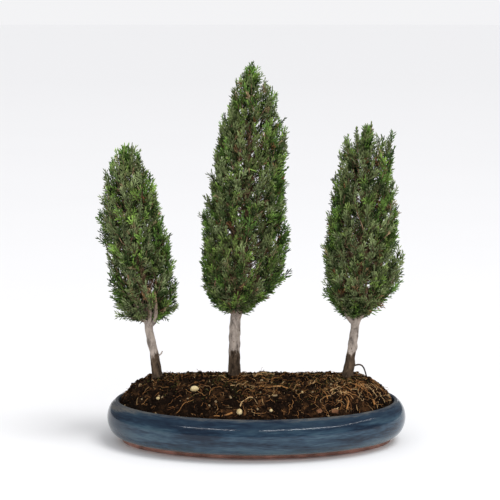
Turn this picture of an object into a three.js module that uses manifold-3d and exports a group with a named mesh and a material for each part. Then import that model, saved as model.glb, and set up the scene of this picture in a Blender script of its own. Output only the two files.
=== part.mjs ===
// Three clipped conifers planted in a row in a shallow oval glazed pot, heaped with soil.
// Millimetres, +Z up, +Y to the back. The origin is the middle of the pot's footprint,
// on the surface that the foot ring stands on.
import * as THREE from 'three';
import { mergeVertices } from 'three/addons/utils/BufferGeometryUtils.js';
import Module from 'manifold-3d';

const wasm = await Module();
wasm.setup();

// ---------------------------------------------------------------- driving dimensions

const GAP = 0.3; // space between neighbouring pieces
const BOUGH_GAP = 0.5; // space between neighbouring boughs

const POT = {
  length: 300, // over the widest line
  width: 204,
  height: 42.5,
  bellyHeight: 25, // height of the widest line
  wall: 7,
  floor: 5.5,
  cove: 3, // height of the rounded turn from the floor to the wall
  footHeight: 5,
  footGroove: 0.5, // the step between the foot and the glazed wall
  footWidth: 9,
  footSetbackEnds: 15, // how far the foot stands inside the widest line
  footSetbackSides: 26,
  footOverhangEnds: 3, // how far the glazed wall stands out over the foot
  footOverhangSides: 9,
  footTaper: 0.8, // how much each side of the foot ring leans over its height
  lipSetback: 8, // how far the rim's crest leans inwards
  lipWidth: 3.4, // from the crest to the inside of the rim
  lipRound: 1, // how far the lip's two edges lie below its crest
  around: 48, // facets around the oval
};

const DRAIN = {
  spacing: 124, // between the two holes' centres
  radius: 9,
};

const SCREEN = {
  cover: 6, // how far it reaches past the hole all round
  thickness: 1.2,
  cells: 4, // openings along each side
  bar: 2,
};

const WIRE = {
  radius: 0.6,
  armCover: 5, // how far each arm lies out past the hole, under the floor
};

const SOIL = {
  rise: 22, // how far the middle of the heap stands above the rim
  shoulderSetback: 40, // setback from the widest line at which the heap levels off
  ridge: 0.16, // share of the heap's half width at which it begins to fall away at the back
  backFall: 0.22, // how far it then falls for each millimetre
};

const TRUNK_DEPTH = 13; // how far each trunk goes down into the soil
const CONE_SLOPE = 1.4; // rise of the upper face of a bough, away from the leader
const CROWN_SIDES = 20;
const CROWN_RINGS = 9; // closer together towards the ends, where the crown turns in
const TRUNK_SIDES = 8;
const TRUNK_STEPS = 14;

// Places on the heap are shares of its own half length and half width, so [1, 0] is its
// right-hand end. A tree's other points are steps from its root, where it leaves the soil:
// bend: a point of the trunk. fork: where the lowest limbs leave it.
// crown: low and tip are the ends of its axis, widest is the power that sets where it is
// widest, and blunt how round its ends are. tiers: each ring of boughs, from the bottom,
// with the height up the axis at which the next ring begins. snags: the short stems on the
// trunk, each from its middle at a height, with its bend and end as steps from there. One
// that is rooted arches over and goes that far down into the soil.
const TREES = [
  {
    name: 'left_tree',
    root: [-0.724, 0],
    bend: [-3, 0, 23],
    fork: [-8, 1, 49],
    rootRadius: 5.1,
    trunkRadius: 4.3,
    crown: { low: [-8.5, 1, 52], tip: [-31.5, 2, 238], radius: 34, widest: 0.52, blunt: 0.3 },
    tiers: [
      { boughs: 3, top: 24, turn: 0.35 },
      { boughs: 3, top: 82, turn: 1.4 },
    ],
    snags: [{ height: 21, bend: [6, -1.5, 2.5], to: [8.2, -2, 6], radius: 0.9 }],
  },
  {
    name: 'centre_tree',
    root: [-0.16, 0.134],
    bend: [-0.3, 0, 26],
    fork: [0.5, 0, 54],
    rootRadius: 6.3,
    trunkRadius: 5.6,
    crown: { low: [6.5, 0, 56], tip: [18, 2, 316], radius: 45, widest: 0.576, blunt: 0.5 },
    tiers: [
      { boughs: 4, top: 32, turn: 0.2 },
      { boughs: 3, top: 112, turn: 1.1 },
    ],
    snags: [],
  },
  {
    name: 'right_tree',
    root: [0.67, 0.09],
    bend: [3.5, 0, 23],
    fork: [7.5, 1, 52],
    rootRadius: 5.6,
    trunkRadius: 4.5,
    crown: { low: [10, 1, 54], tip: [18, 2, 257], radius: 41, widest: 0.5, blunt: 0.35 },
    tiers: [
      { boughs: 3, top: 26, turn: 0.9 },
      { boughs: 3, top: 88, turn: 1.9 },
    ],
    snags: [{ height: 11, bend: [13, -4, 2], to: [19.5, -6, 0], radius: 1, rooted: 3 }],
  },
];

// Each pebble's place on the heap and its half sizes.
const PEBBLES = [
  { at: [-0.44, -0.58], half: [4.6, 3.4, 3.2], turn: 0.3 },
  { at: [-0.12, -0.93], half: [3.1, 2.6, 2.9], turn: 1.1 },
  { at: [0.1, -0.92], half: [1.7, 1.5, 1.5], turn: 0.4 },
  { at: [0.32, -0.67], half: [1.8, 1.4, 1.4], turn: 2.0 },
  { at: [-0.7, -0.56], half: [2.2, 1.7, 1.6], turn: 0.9 },
  { at: [0.22, 0.69], half: [3.4, 2.6, 2.4], turn: 0.6 },
];

// Roots that lie half sunk along the heap, as places on it.
const ROOTS = [
  { along: [[-0.3, -0.92], [-0.24, -0.94], [-0.17, -0.93]], radius: 0.9 },
  { along: [[0.02, -0.45], [0.09, -0.56], [0.16, -0.49], [0.22, -0.58]], radius: 0.9 },
  { along: [[0.61, -0.54], [0.65, -0.63], [0.63, -0.72]], radius: 1.1 },
  { along: [[0.76, -0.29], [0.83, -0.4], [0.84, -0.48]], radius: 1 },
  { along: [[0.86, -0.16], [0.92, -0.09], [0.97, -0.11]], radius: 1 },
  { along: [[-0.86, 0.22], [-0.77, 0.38], [-0.67, 0.49]], radius: 1 },
];

const CHIPS = [
  { at: [0.44, -0.84], size: [5.5, 4, 1.6], turn: 0.7 },
  { at: [0.55, -0.79], size: [7, 4, 1.6], turn: 0.1 },
  { at: [-0.22, 0.58], size: [8, 4.5, 1.6], turn: 1.2 },
];

const FINISH = {
  glaze: { color: 0x2f4760, roughness: 0.25, metalness: 0 },
  screen: { color: 0x22301f, roughness: 0.6, metalness: 0 },
  wire: { color: 0x8a8d90, roughness: 0.4, metalness: 0.8 },
  soil: { color: 0x2a1d16, roughness: 0.95, metalness: 0 },
  bark: { color: 0x7d6a5c, roughness: 0.9, metalness: 0 },
  foliage: { color: 0x4c6b34, roughness: 0.8, metalness: 0 },
  pebble: { color: 0xc9b27c, roughness: 0.7, metalness: 0 },
  root: { color: 0x9a7650, roughness: 0.85, metalness: 0 },
  chip: { color: 0x6b4526, roughness: 0.85, metalness: 0 },
};

// ---------------------------------------------------------------- solids and meshes

// A closed three.js geometry as a solid with its faces pointing out.
function solid(geometry) {
  const bare = geometry.index ? geometry.clone() : geometry;
  bare.deleteAttribute('normal');
  bare.deleteAttribute('uv');
  const merged = mergeVertices(bare, 1e-4);
  const vertProperties = new Float32Array(merged.attributes.position.array);
  const triVerts = new Uint32Array(merged.index.array);
  const made = new wasm.Manifold(new wasm.Mesh({ numProp: 3, vertProperties, triVerts }));
  if (made.volume() > 0) return made;
  for (let i = 0; i < triVerts.length; i += 3) {
    [triVerts[i], triVerts[i + 1]] = [triVerts[i + 1], triVerts[i]];
  }
  return new wasm.Manifold(new wasm.Mesh({ numProp: 3, vertProperties, triVerts }));
}

function join(solids) {
  return solids.reduce((sum, next) => sum.add(next));
}

function cut(body, tools) {
  return tools.reduce((left, tool) => left.subtract(tool), body);
}

// The largest separate bodies of a solid, in order around an axis.
function largestBodies(body, count, angleOf) {
  const bodies = body.decompose().sort((a, b) => b.volume() - a.volume()).slice(0, count);
  return bodies.sort((a, b) => angleOf(a) - angleOf(b));
}

function middleOf(body) {
  const { min, max } = body.boundingBox();
  return new THREE.Vector3(min[0] + max[0], min[1] + max[1], min[2] + max[2]).multiplyScalar(0.5);
}

const group = new THREE.Group();

function addNode(name, body, finish) {
  const { vertProperties, triVerts, numProp } = body.getMesh();
  const geometry = new THREE.BufferGeometry();
  const places = new Float32Array((vertProperties.length / numProp) * 3);
  for (let i = 0; i < places.length / 3; i += 1) {
    for (let k = 0; k < 3; k += 1) places[3 * i + k] = vertProperties[numProp * i + k];
  }
  geometry.setAttribute('position', new THREE.BufferAttribute(places, 3));
  geometry.setIndex(new THREE.BufferAttribute(new Uint32Array(triVerts), 1));
  geometry.computeVertexNormals();
  const mesh = new THREE.Mesh(geometry, new THREE.MeshStandardMaterial(FINISH[finish]));
  mesh.name = name;
  group.add(mesh);
}

function placed(geometry, position, rotation = [0, 0, 0]) {
  const matrix = new THREE.Matrix4().makeRotationFromEuler(new THREE.Euler(...rotation));
  return geometry.applyMatrix4(matrix.setPosition(...position));
}

// A round bar along a curve, with a radius of its own at each point, and grow added all over.
function taperedBar(curve, radiusAt, sides, steps, grow = 0) {
  const geometry = new THREE.CylinderGeometry(1, 1, 1, sides, steps);
  const frames = curve.computeFrenetFrames(steps, false);
  const { position } = geometry.attributes;
  for (let i = 0; i < position.count; i += 1) {
    const t = position.getY(i) + 0.5;
    const step = Math.round(t * steps);
    const place = curve.getPointAt(t);
    const radius = radiusAt(place, t) + grow;
    const endStretch = (step === steps ? grow : 0) - (step === 0 ? grow : 0);
    place.addScaledVector(frames.normals[step], radius * position.getX(i));
    place.addScaledVector(frames.binormals[step], radius * position.getZ(i));
    place.addScaledVector(frames.tangents[step], endStretch);
    position.setXYZ(i, place.x, place.y, place.z);
  }
  return solid(geometry);
}

// ---------------------------------------------------------------- the pot's oval plan

// The point at an angle around the plan that lies a setback inside the widest line.
// The setback goes from one value at the ends to another along the sides.
function ovalPoint(angle, setbackEnds, setbackSides = setbackEnds) {
  const a = POT.length / 2;
  const b = POT.width / 2;
  const normal = new THREE.Vector2(Math.cos(angle) / a, Math.sin(angle) / b).normalize();
  const setback = setbackEnds + (setbackSides - setbackEnds) * normal.y ** 2;
  const onLine = new THREE.Vector2(a * Math.cos(angle), b * Math.sin(angle));
  return onLine.addScaledVector(normal, -setback);
}

// An oval solid from a profile of { z, ends, sides } points. It starts and ends on the axis.
function ovalSolid(profile) {
  const last = profile.length - 1;
  const outline = profile.map((p, j) => new THREE.Vector2(j === 0 || j === last ? 0 : 1, p.z));
  const geometry = new THREE.LatheGeometry(outline, POT.around);
  const { position } = geometry.attributes;
  for (let i = 0; i < position.count; i += 1) {
    const j = i % profile.length;
    const angle = (Math.floor(i / profile.length) / POT.around) * 2 * Math.PI;
    if (j === 0 || j === last) {
      position.setXYZ(i, 0, 0, profile[j].z);
    } else {
      const place = ovalPoint(angle, profile[j].ends, profile[j].sides);
      position.setXYZ(i, place.x, place.y, profile[j].z);
    }
  }
  return solid(geometry);
}

// Where the glazed wall ends above the foot, and how round the wall is below its widest line.
const glazeEdge = {
  z: POT.footHeight + POT.footGroove,
  ends: POT.footSetbackEnds - POT.footOverhangEnds,
  sides: POT.footSetbackSides - POT.footOverhangSides,
};
const LOWER_ARC = THREE.MathUtils.degToRad(75);
const UPPER_ARC = THREE.MathUtils.degToRad(62);

// A point of the wall's outer curve, or of its inner one if it is moved in by the wall.
function wallPoint(angle, inwards) {
  const below = angle < 0;
  const arc = below ? LOWER_ARC : UPPER_ARC;
  const drop = POT.bellyHeight - (below ? glazeEdge.z : POT.height - POT.lipRound);
  const lean = (1 - Math.cos(angle)) / (1 - Math.cos(arc));
  return {
    z: POT.bellyHeight - drop * (Math.sin(Math.abs(angle)) / Math.sin(arc)),
    ends: inwards + lean * (below ? glazeEdge.ends : POT.lipSetback),
    sides: inwards + lean * (below ? glazeEdge.sides : POT.lipSetback),
  };
}

const floorTop = glazeEdge.z + POT.floor;

function wallCurve(from, to, steps, inwards) {
  const points = [];
  for (let i = 0; i <= steps; i += 1) points.push(wallPoint(from + ((to - from) * i) / steps, inwards));
  return points;
}

// The angle down the wall's lower curve at which the hollow turns in to the floor.
const coveHeight = floorTop + POT.cove;
const coveShare = (POT.bellyHeight - coveHeight) / (POT.bellyHeight - glazeEdge.z);
const coveAngle = Math.asin(coveShare * Math.sin(LOWER_ARC));

// The hollow's profile, from the lip down to the floor, drawn in by a clearance.
function hollowProfile(clearance) {
  const lipInside = POT.lipSetback + POT.lipWidth + clearance;
  const down = wallCurve(UPPER_ARC * 0.8, -coveAngle, 5, POT.wall + clearance);
  const corner = down[down.length - 1];
  const turnIn = 2.4 * POT.cove;
  const floorEdge = { z: floorTop + clearance, ends: corner.ends + turnIn, sides: corner.sides + turnIn };
  return [{ z: POT.height - POT.lipRound, ends: lipInside, sides: lipInside }, ...down, floorEdge];
}

function makePot() {
  const under = glazeEdge.z;
  const foot = { ends: POT.footSetbackEnds, sides: POT.footSetbackSides };
  const inside = { ends: foot.ends + POT.footWidth, sides: foot.sides + POT.footWidth };
  const crest = POT.lipSetback + POT.lipWidth / 2;
  const profile = [
    { z: under },
    { z: under, ends: inside.ends + POT.footTaper, sides: inside.sides + POT.footTaper },
    { z: 0, ...inside },
    { z: 0, ...foot },
    { z: POT.footHeight, ends: foot.ends - POT.footTaper, sides: foot.sides - POT.footTaper },
    ...wallCurve(-LOWER_ARC, 0, 5, 0),
    ...wallCurve(UPPER_ARC / 4, UPPER_ARC, 3, 0),
    { z: POT.height, ends: crest, sides: crest },
    ...hollowProfile(0),
    { z: floorTop },
  ];
  const drains = [-1, 1].map((side) => {
    const drill = new THREE.CylinderGeometry(DRAIN.radius, DRAIN.radius, 4 * POT.floor, 20);
    return solid(placed(drill, [(side * DRAIN.spacing) / 2, 0, floorTop], [Math.PI / 2, 0, 0]));
  });
  return cut(ovalSolid(profile), drains);
}

// ---------------------------------------------------------------- drain screens and wires

const screenLow = floorTop + GAP;
const screenHigh = screenLow + SCREEN.thickness;
const wireOver = screenHigh + GAP + WIRE.radius;
const wireUnder = glazeEdge.z - GAP - WIRE.radius;

const screenSize = 2 * (DRAIN.radius + SCREEN.cover);

// The pitch of the screen's openings, whose middles lie half a pitch either side of its middle.
const screenPitch = (screenSize - SCREEN.bar) / SCREEN.cells;

function makeScreen(x) {
  const z = screenLow + SCREEN.thickness / 2;
  const plate = solid(placed(new THREE.BoxGeometry(screenSize, screenSize, SCREEN.thickness), [x, 0, z]));
  const opening = screenPitch - SCREEN.bar;
  const openings = [];
  for (let i = 0; i < SCREEN.cells; i += 1) {
    for (let j = 0; j < SCREEN.cells; j += 1) {
      const [u, v] = [i, j].map((k) => (k - (SCREEN.cells - 1) / 2) * screenPitch);
      const punch = new THREE.BoxGeometry(opening, opening, 3 * SCREEN.thickness);
      openings.push(solid(placed(punch, [x + u, v, z])));
    }
  }
  return cut(plate, openings);
}

// Over one bar of the screen, down through two of its openings and out under the floor.
function makeWire(x) {
  const leg = screenPitch / 2;
  const y = leg;
  const half = [[1.3, wireOver], [leg, wireOver - 1.4], [leg, wireUnder + 1.6]];
  half.push([leg + 1.8, wireUnder], [DRAIN.radius + WIRE.armCover, wireUnder]);
  const right = half.map(([u, z]) => new THREE.Vector3(x + u, y, z));
  const left = half.map(([u, z]) => new THREE.Vector3(x - u, y, z)).reverse();
  const route = new THREE.CatmullRomCurve3([...left, ...right], false, 'catmullrom', 0.15);
  return taperedBar(route, () => WIRE.radius, 6, 26);
}

// ---------------------------------------------------------------- the heap's height

const heapCrest = POT.height + SOIL.rise;

// The heap's outline from the wall just under the lip to where it levels off.
function heapProfile() {
  const edge = hollowProfile(GAP)[1];
  const rise = heapCrest - edge.z;
  const run = SOIL.shoulderSetback - edge.ends;
  const steps = [[0, 0], [0.1, 0.2], [0.34, 0.5], [0.62, 0.78], [1, 0.94], [1.5, 0.985]];
  return steps.map(([u, v]) => {
    const setback = edge.ends + u * run;
    return { z: edge.z + v * rise, ends: setback, sides: setback };
  });
}

function heapPlace([u, v]) {
  const edge = hollowProfile(GAP)[1].ends;
  return [u * (POT.length / 2 - edge), v * (POT.width / 2 - edge)];
}

function setbackAt(x, y) {
  let nearest = Infinity;
  for (let i = 0; i < 360; i += 1) {
    const place = ovalPoint((i / 180) * Math.PI, 0);
    nearest = Math.min(nearest, Math.hypot(place.x - x, place.y - y));
  }
  return nearest;
}

// The slope behind the trees, which the rest of the heap stays under.
function backHeight(y) {
  const ridge = heapPlace([0, SOIL.ridge])[1];
  return heapCrest - SOIL.backFall * Math.max(y - ridge, 0);
}

function heapHeight(x, y) {
  const setback = setbackAt(x, y);
  const steps = heapProfile();
  const next = steps.findIndex((step) => step.ends > setback);
  if (next < 0) return Math.min(steps[steps.length - 1].z + 0.2, backHeight(y));
  if (next === 0) return steps[0].z;
  const [low, high] = [steps[next - 1], steps[next]];
  const t = (setback - low.ends) / (high.ends - low.ends);
  return Math.min(low.z + t * (high.z - low.z), backHeight(y));
}

// ---------------------------------------------------------------- what lies on the heap

function pebbleSolid({ at, half, turn }, grow = 0) {
  const ball = new THREE.IcosahedronGeometry(1, 1);
  ball.scale(...half.map((h) => h + grow));
  const [x, y] = heapPlace(at);
  return solid(placed(ball, [x, y, heapHeight(x, y) + 0.25 * half[2]], [0, 0, turn]));
}

function rootSolid({ along, radius }, grow = 0) {
  const places = along.map(heapPlace).map(([x, y]) => {
    return new THREE.Vector3(x, y, heapHeight(x, y) + 0.3 * radius);
  });
  const curve = new THREE.CatmullRomCurve3(places);
  return taperedBar(curve, (_, t) => radius * (1 - 0.45 * t), 5, 8, grow);
}

// A chip lies along the slope of the heap, which rises towards the middle of the pot.
function chipSolid({ at, size, turn }, grow = 0) {
  const [x, y] = heapPlace(at);
  const box = new THREE.BoxGeometry(...size.map((s) => s + 2 * grow));
  box.rotateZ(turn);
  const reach = 2;
  const alongX = Math.atan2(heapHeight(x + reach, y) - heapHeight(x - reach, y), 2 * reach);
  const alongY = Math.atan2(heapHeight(x, y + reach) - heapHeight(x, y - reach), 2 * reach);
  return solid(placed(box, [x, y, heapHeight(x, y) + 0.2 * size[2]], [alongY, -alongX, 0]));
}

// ---------------------------------------------------------------- trees

function crownRadius(crown, height) {
  const swell = Math.sin(Math.PI * Math.min(Math.max(height, 0), 1) ** crown.widest);
  return crown.radius * Math.max(swell, 0) ** crown.blunt;
}

function rootOf(tree) {
  const [x, y] = heapPlace(tree.root);
  return new THREE.Vector3(x, y, heapHeight(x, y));
}

function fromRoot(tree, step) {
  return rootOf(tree).add(new THREE.Vector3(...step));
}

// A crown's own frame: +Z along its axis, from its low end.
function crownFrame(tree) {
  const from = fromRoot(tree, tree.crown.low);
  const axis = fromRoot(tree, tree.crown.tip).sub(from);
  const length = axis.length();
  const turn = new THREE.Quaternion().setFromUnitVectors(new THREE.Vector3(0, 0, 1), axis.normalize());
  const matrix = new THREE.Matrix4().compose(from, turn, new THREE.Vector3(1, 1, 1));
  return { length, matrix };
}

const LEADER_REACH = 0.78; // how far up the crown the leader goes
const LEADER_TIP_RADIUS = 1.1;
const LIMB_RADIUS = 2;

// The trunk's line, from its stump in the soil to the top of the leader.
function trunkLine(tree) {
  const { length, matrix } = crownFrame(tree);
  const onAxis = (share) => new THREE.Vector3(0, 0, share * length).applyMatrix4(matrix);
  return new THREE.CatmullRomCurve3([
    fromRoot(tree, [0, 0, -TRUNK_DEPTH]),
    rootOf(tree),
    fromRoot(tree, tree.bend),
    fromRoot(tree, tree.fork),
    onAxis(0.3),
    onAxis(LEADER_REACH),
  ]);
}

function trunkSolid(tree, grow = 0) {
  const line = trunkLine(tree);
  const ground = rootOf(tree).z;
  const bendHeight = ground + tree.bend[2];
  const forkHeight = ground + tree.fork[2];
  const topHeight = line.points[line.points.length - 1].z;
  const radiusAt = ({ z }) => {
    if (z < bendHeight) {
      const t = Math.max((z - ground) / (bendHeight - ground), -0.3);
      return tree.rootRadius + t * (tree.trunkRadius - tree.rootRadius);
    }
    if (z < forkHeight) return tree.trunkRadius;
    const t = Math.min((z - forkHeight) / (topHeight - forkHeight), 1);
    return tree.trunkRadius + t * (LEADER_TIP_RADIUS - tree.trunkRadius);
  };
  return taperedBar(line, radiusAt, TRUNK_SIDES, TRUNK_STEPS, grow);
}

// The middle of each bough's sector, in its tier.
function boughAngle(tier, i) {
  return tier.turn + ((i + 0.5) / tier.boughs) * 2 * Math.PI;
}

// One limb for each bough of the tiers: up out of the leader and into the middle of the bough.
function limbSolids(tree, grow = 0) {
  const { length, matrix } = crownFrame(tree);
  const limbs = [];
  tree.tiers.forEach((tier, k) => {
    const floor = k === 0 ? 0 : tree.tiers[k - 1].top;
    const startHeight = k === 0 ? 3 : floor + 0.3 * (tier.top - floor);
    const reach = 0.58 * crownRadius(tree.crown, (floor + tier.top) / 2 / length + 0.1);
    const rise = k === 0 ? (tier.top + CONE_SLOPE * reach) / 2 : (floor + tier.top) / 2 + CONE_SLOPE * reach;
    for (let i = 0; i < tier.boughs; i += 1) {
      const angle = boughAngle(tier, i);
      const outwards = new THREE.Vector3(Math.cos(angle), Math.sin(angle), 0);
      const at = (r, z) => outwards.clone().multiplyScalar(r).setZ(z).applyMatrix4(matrix);
      const bend = at(0.45 * reach, startHeight + 0.3 * (rise - startHeight));
      const curve = new THREE.CatmullRomCurve3([at(0, startHeight), bend, at(reach, rise)]);
      limbs.push(taperedBar(curve, (_, t) => LIMB_RADIUS * (1 - 0.5 * t), 6, 4, grow));
    }
  });
  return limbs;
}

function snagSolids(tree, grow = 0) {
  const along = trunkLine(tree).getSpacedPoints(100);
  return tree.snags.map(({ height, bend, to, radius, rooted }) => {
    const start = along.find((place) => place.z >= rootOf(tree).z + height);
    const end = start.clone().add(new THREE.Vector3(...to));
    if (rooted) end.z = heapHeight(end.x, end.y) - rooted;
    const over = start.clone().add(new THREE.Vector3(...bend));
    const curve = new THREE.CatmullRomCurve3([start, over, end]);
    return taperedBar(curve, () => radius, 6, 8, grow);
  });
}

function woodSolid(tree, grow = 0) {
  return join([trunkSolid(tree, grow), ...limbSolids(tree, grow), ...snagSolids(tree, grow)]);
}

// The whole crown, in its own frame.
function crownSolid(crown, length) {
  const outline = [new THREE.Vector2(0, 0)];
  for (let i = 1; i <= CROWN_RINGS; i += 1) {
    const share = (1 - Math.cos((Math.PI * i) / (CROWN_RINGS + 1))) / 2;
    outline.push(new THREE.Vector2(crownRadius(crown, share), share * length));
  }
  outline.push(new THREE.Vector2(0, length));
  const lathe = new THREE.LatheGeometry(outline, CROWN_SIDES);
  return solid(lathe.rotateX(Math.PI / 2));
}

// Everything above a tier's upper face, which rises away from the leader.
function aboveCone(height, crown, length) {
  const reach = 2 * crown.radius;
  const far = height + CONE_SLOPE * reach;
  const outline = [[0, height], [reach, far], [reach, far + length], [0, far + length]];
  const lathe = new THREE.LatheGeometry(outline.map(([r, z]) => new THREE.Vector2(r, z)), CROWN_SIDES);
  return solid(lathe.rotateX(Math.PI / 2));
}

// Thin upright slabs from the axis outwards, between one bough and the next.
function boughGaps(tier, crown, length) {
  const reach = 2 * crown.radius;
  const gaps = [];
  for (let i = 0; i < tier.boughs; i += 1) {
    const slab = new THREE.BoxGeometry(reach, BOUGH_GAP, 3 * length);
    slab.translate(reach / 2, 0, 0);
    slab.rotateZ(tier.turn + (i / tier.boughs) * 2 * Math.PI);
    gaps.push(solid(slab));
  }
  return gaps;
}

const TIER_NAMES = ['lower', 'upper'];

function addFoliage(tree, wood) {
  const { crown, name } = tree;
  const { length, matrix } = crownFrame(tree);
  const toPart = (body) => cut(body.transform(matrix.elements), [wood]);
  const stepGap = BOUGH_GAP * Math.hypot(1, CONE_SLOPE);
  let rest = crownSolid(crown, length);
  tree.tiers.forEach((tier, k) => {
    const ring = cut(rest, [aboveCone(tier.top, crown, length)]);
    rest = rest.intersect(aboveCone(tier.top + stepGap, crown, length));
    const parts = toPart(cut(ring, boughGaps(tier, crown, length)));
    const foot = new THREE.Vector3(0, 0, tier.top).applyMatrix4(matrix);
    const angleOf = (body) => {
      const middle = middleOf(body).sub(foot);
      const angle = Math.atan2(middle.y, middle.x) - tier.turn;
      return (angle + 4 * Math.PI) % (2 * Math.PI);
    };
    largestBodies(parts, tier.boughs, angleOf).forEach((bough, i) => {
      addNode(`${name}_${TIER_NAMES[k]}_bough_${i + 1}`, bough, 'foliage');
    });
  });
  addNode(`${name}_top_bough`, largestBodies(toPart(rest), 1, () => 0)[0], 'foliage');
}

// ---------------------------------------------------------------- soil

function makeSoil() {
  // From the top down, as the pot's hollow is, so that the facets of both lie alike.
  const heap = heapProfile().slice(1).reverse();
  const inPot = hollowProfile(GAP).slice(1);
  const body = ovalSolid([{ z: heapCrest }, ...heap, ...inPot, { z: floorTop + GAP }]);
  const pocket = screenSize + 2 * GAP;
  const pocketTop = wireOver + WIRE.radius + GAP;
  const pockets = [-1, 1].map((side) => {
    const box = new THREE.BoxGeometry(pocket, pocket, 2 * (pocketTop - floorTop));
    return solid(box.translate((side * DRAIN.spacing) / 2, 0, floorTop));
  });
  // A block whose underside is the slope behind the trees.
  const above = new THREE.BoxGeometry(2 * POT.length, 2 * POT.width, 2 * SOIL.rise);
  above.translate(0, POT.width, SOIL.rise).rotateX(-Math.atan(SOIL.backFall));
  above.translate(0, heapPlace([0, SOIL.ridge])[1], heapCrest);
  const sockets = [
    ...TREES.flatMap((tree) => [trunkSolid(tree, GAP), ...snagSolids(tree, GAP)]),
    ...PEBBLES.map((pebble) => pebbleSolid(pebble, GAP)),
    ...ROOTS.map((root) => rootSolid(root, GAP)),
    ...CHIPS.map((chip) => chipSolid(chip, GAP)),
  ];
  return largestBodies(cut(body, [...pockets, solid(above), ...sockets]), 1, () => 0)[0];
}

// ---------------------------------------------------------------- assembly

addNode('pot', makePot(), 'glaze');
['left', 'right'].forEach((side, i) => {
  const x = ((2 * i - 1) * DRAIN.spacing) / 2;
  addNode(`${side}_drain_screen`, makeScreen(x), 'screen');
  addNode(`${side}_screen_wire`, makeWire(x), 'wire');
});
addNode('soil', makeSoil(), 'soil');
TREES.forEach((tree) => {
  addNode(`${tree.name}_wood`, woodSolid(tree), 'bark');
  addFoliage(tree, woodSolid(tree, GAP));
});
PEBBLES.forEach((pebble, i) => addNode(`pebble_${i + 1}`, pebbleSolid(pebble), 'pebble'));
ROOTS.forEach((root, i) => addNode(`surface_root_${i + 1}`, rootSolid(root), 'root'));
CHIPS.forEach((chip, i) => addNode(`bark_chip_${i + 1}`, chipSolid(chip), 'chip'));

export default group;
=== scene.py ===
import math
import random

import bmesh
import bpy
from bpy.props import FloatProperty, FloatVectorProperty, IntProperty, PointerProperty
from mathutils import Matrix, Vector, noise
from mathutils.bvhtree import BVHTree


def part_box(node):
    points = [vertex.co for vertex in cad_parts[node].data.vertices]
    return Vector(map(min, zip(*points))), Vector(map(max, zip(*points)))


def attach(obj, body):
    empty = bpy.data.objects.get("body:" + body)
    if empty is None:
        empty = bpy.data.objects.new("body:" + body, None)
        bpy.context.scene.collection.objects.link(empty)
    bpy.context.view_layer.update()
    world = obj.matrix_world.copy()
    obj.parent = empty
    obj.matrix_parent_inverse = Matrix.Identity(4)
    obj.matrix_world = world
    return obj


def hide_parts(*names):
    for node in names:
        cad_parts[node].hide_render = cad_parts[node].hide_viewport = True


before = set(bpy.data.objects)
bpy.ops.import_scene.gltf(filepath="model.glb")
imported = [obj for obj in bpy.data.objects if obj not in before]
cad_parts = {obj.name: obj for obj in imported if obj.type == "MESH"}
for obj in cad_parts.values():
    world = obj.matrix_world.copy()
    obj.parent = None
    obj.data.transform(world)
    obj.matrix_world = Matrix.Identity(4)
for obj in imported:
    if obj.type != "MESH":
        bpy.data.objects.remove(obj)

bl_info = {
    "name": "Bonsai Grove in an Oval Pot",
    "version": (1, 0, 0),
    "blender": (4, 5, 0),
    "location": "View3D > Sidebar > Grove",
    "description": "Dresses a frame of three clipped conifers in a glazed oval pot",
    "category": "Object",
}

MM = 0.001
GOLDEN_ANGLE = math.pi * (3 - math.sqrt(5))
FULL_TURN = 2 * math.pi
UP = Vector((0, 0, 1))
TREES = ("left_tree", "centre_tree", "right_tree")
SEEDS = {"crumbs": 11, "fibres": 23, "roots": 31, "moss": 41, "surface_roots": 53, "wood": 71}


# ---------------------------------------------------------------- settings


def length_setting(name, description, millimetres, largest=2000.0):
    return FloatProperty(
        name=name,
        description=description,
        default=millimetres * MM,
        min=0.01 * MM,
        max=largest * MM,
        precision=4,
        unit="LENGTH",
    )


def colour_setting(name, description, red, green, blue):
    return FloatVectorProperty(
        name=name,
        description=description,
        default=(red, green, blue),
        min=0.0,
        max=1.0,
        subtype="COLOR",
    )


class GrovePotSettings(bpy.types.PropertyGroup):
    around: IntProperty(name="Around", description="Facets around the oval", default=192, min=48)
    belly: length_setting("Belly height", "Height of the pot's widest line", 25)
    wall: length_setting("Wall", "Thickness of the wall", 7)
    floor: length_setting("Floor", "Thickness of the floor", 5.5)
    foot_height: length_setting("Foot height", "Height of the unglazed foot ring", 5)
    foot_width: length_setting("Foot width", "Width of the foot ring", 9)
    lip_setback: length_setting("Lip setback", "How far the lip leans in from the belly", 8)
    lip_width: length_setting("Lip width", "Width of the lip", 3.4)
    drain_spacing: length_setting("Drain spacing", "Between the middles of the two drain holes", 124)
    drain_radius: length_setting("Drain radius", "Radius of each drain hole", 9)
    # The deep glaze is also painted as shade towards the pot's left end.
    glaze_dark: colour_setting("Deep glaze", "Where the glaze is thickest", 0.009, 0.017, 0.032)
    glaze_mid: colour_setting("Glaze", "The glaze's middle tone", 0.029, 0.06, 0.096)
    glaze_pale: colour_setting("Thin glaze", "Where the glaze runs thin", 0.065, 0.118, 0.155)
    glaze_worn: colour_setting("Worn glaze", "Grey-brown wear along the lip", 0.1, 0.095, 0.088)
    clay: colour_setting("Clay", "The unglazed stoneware", 0.46, 0.25, 0.2)


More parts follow.
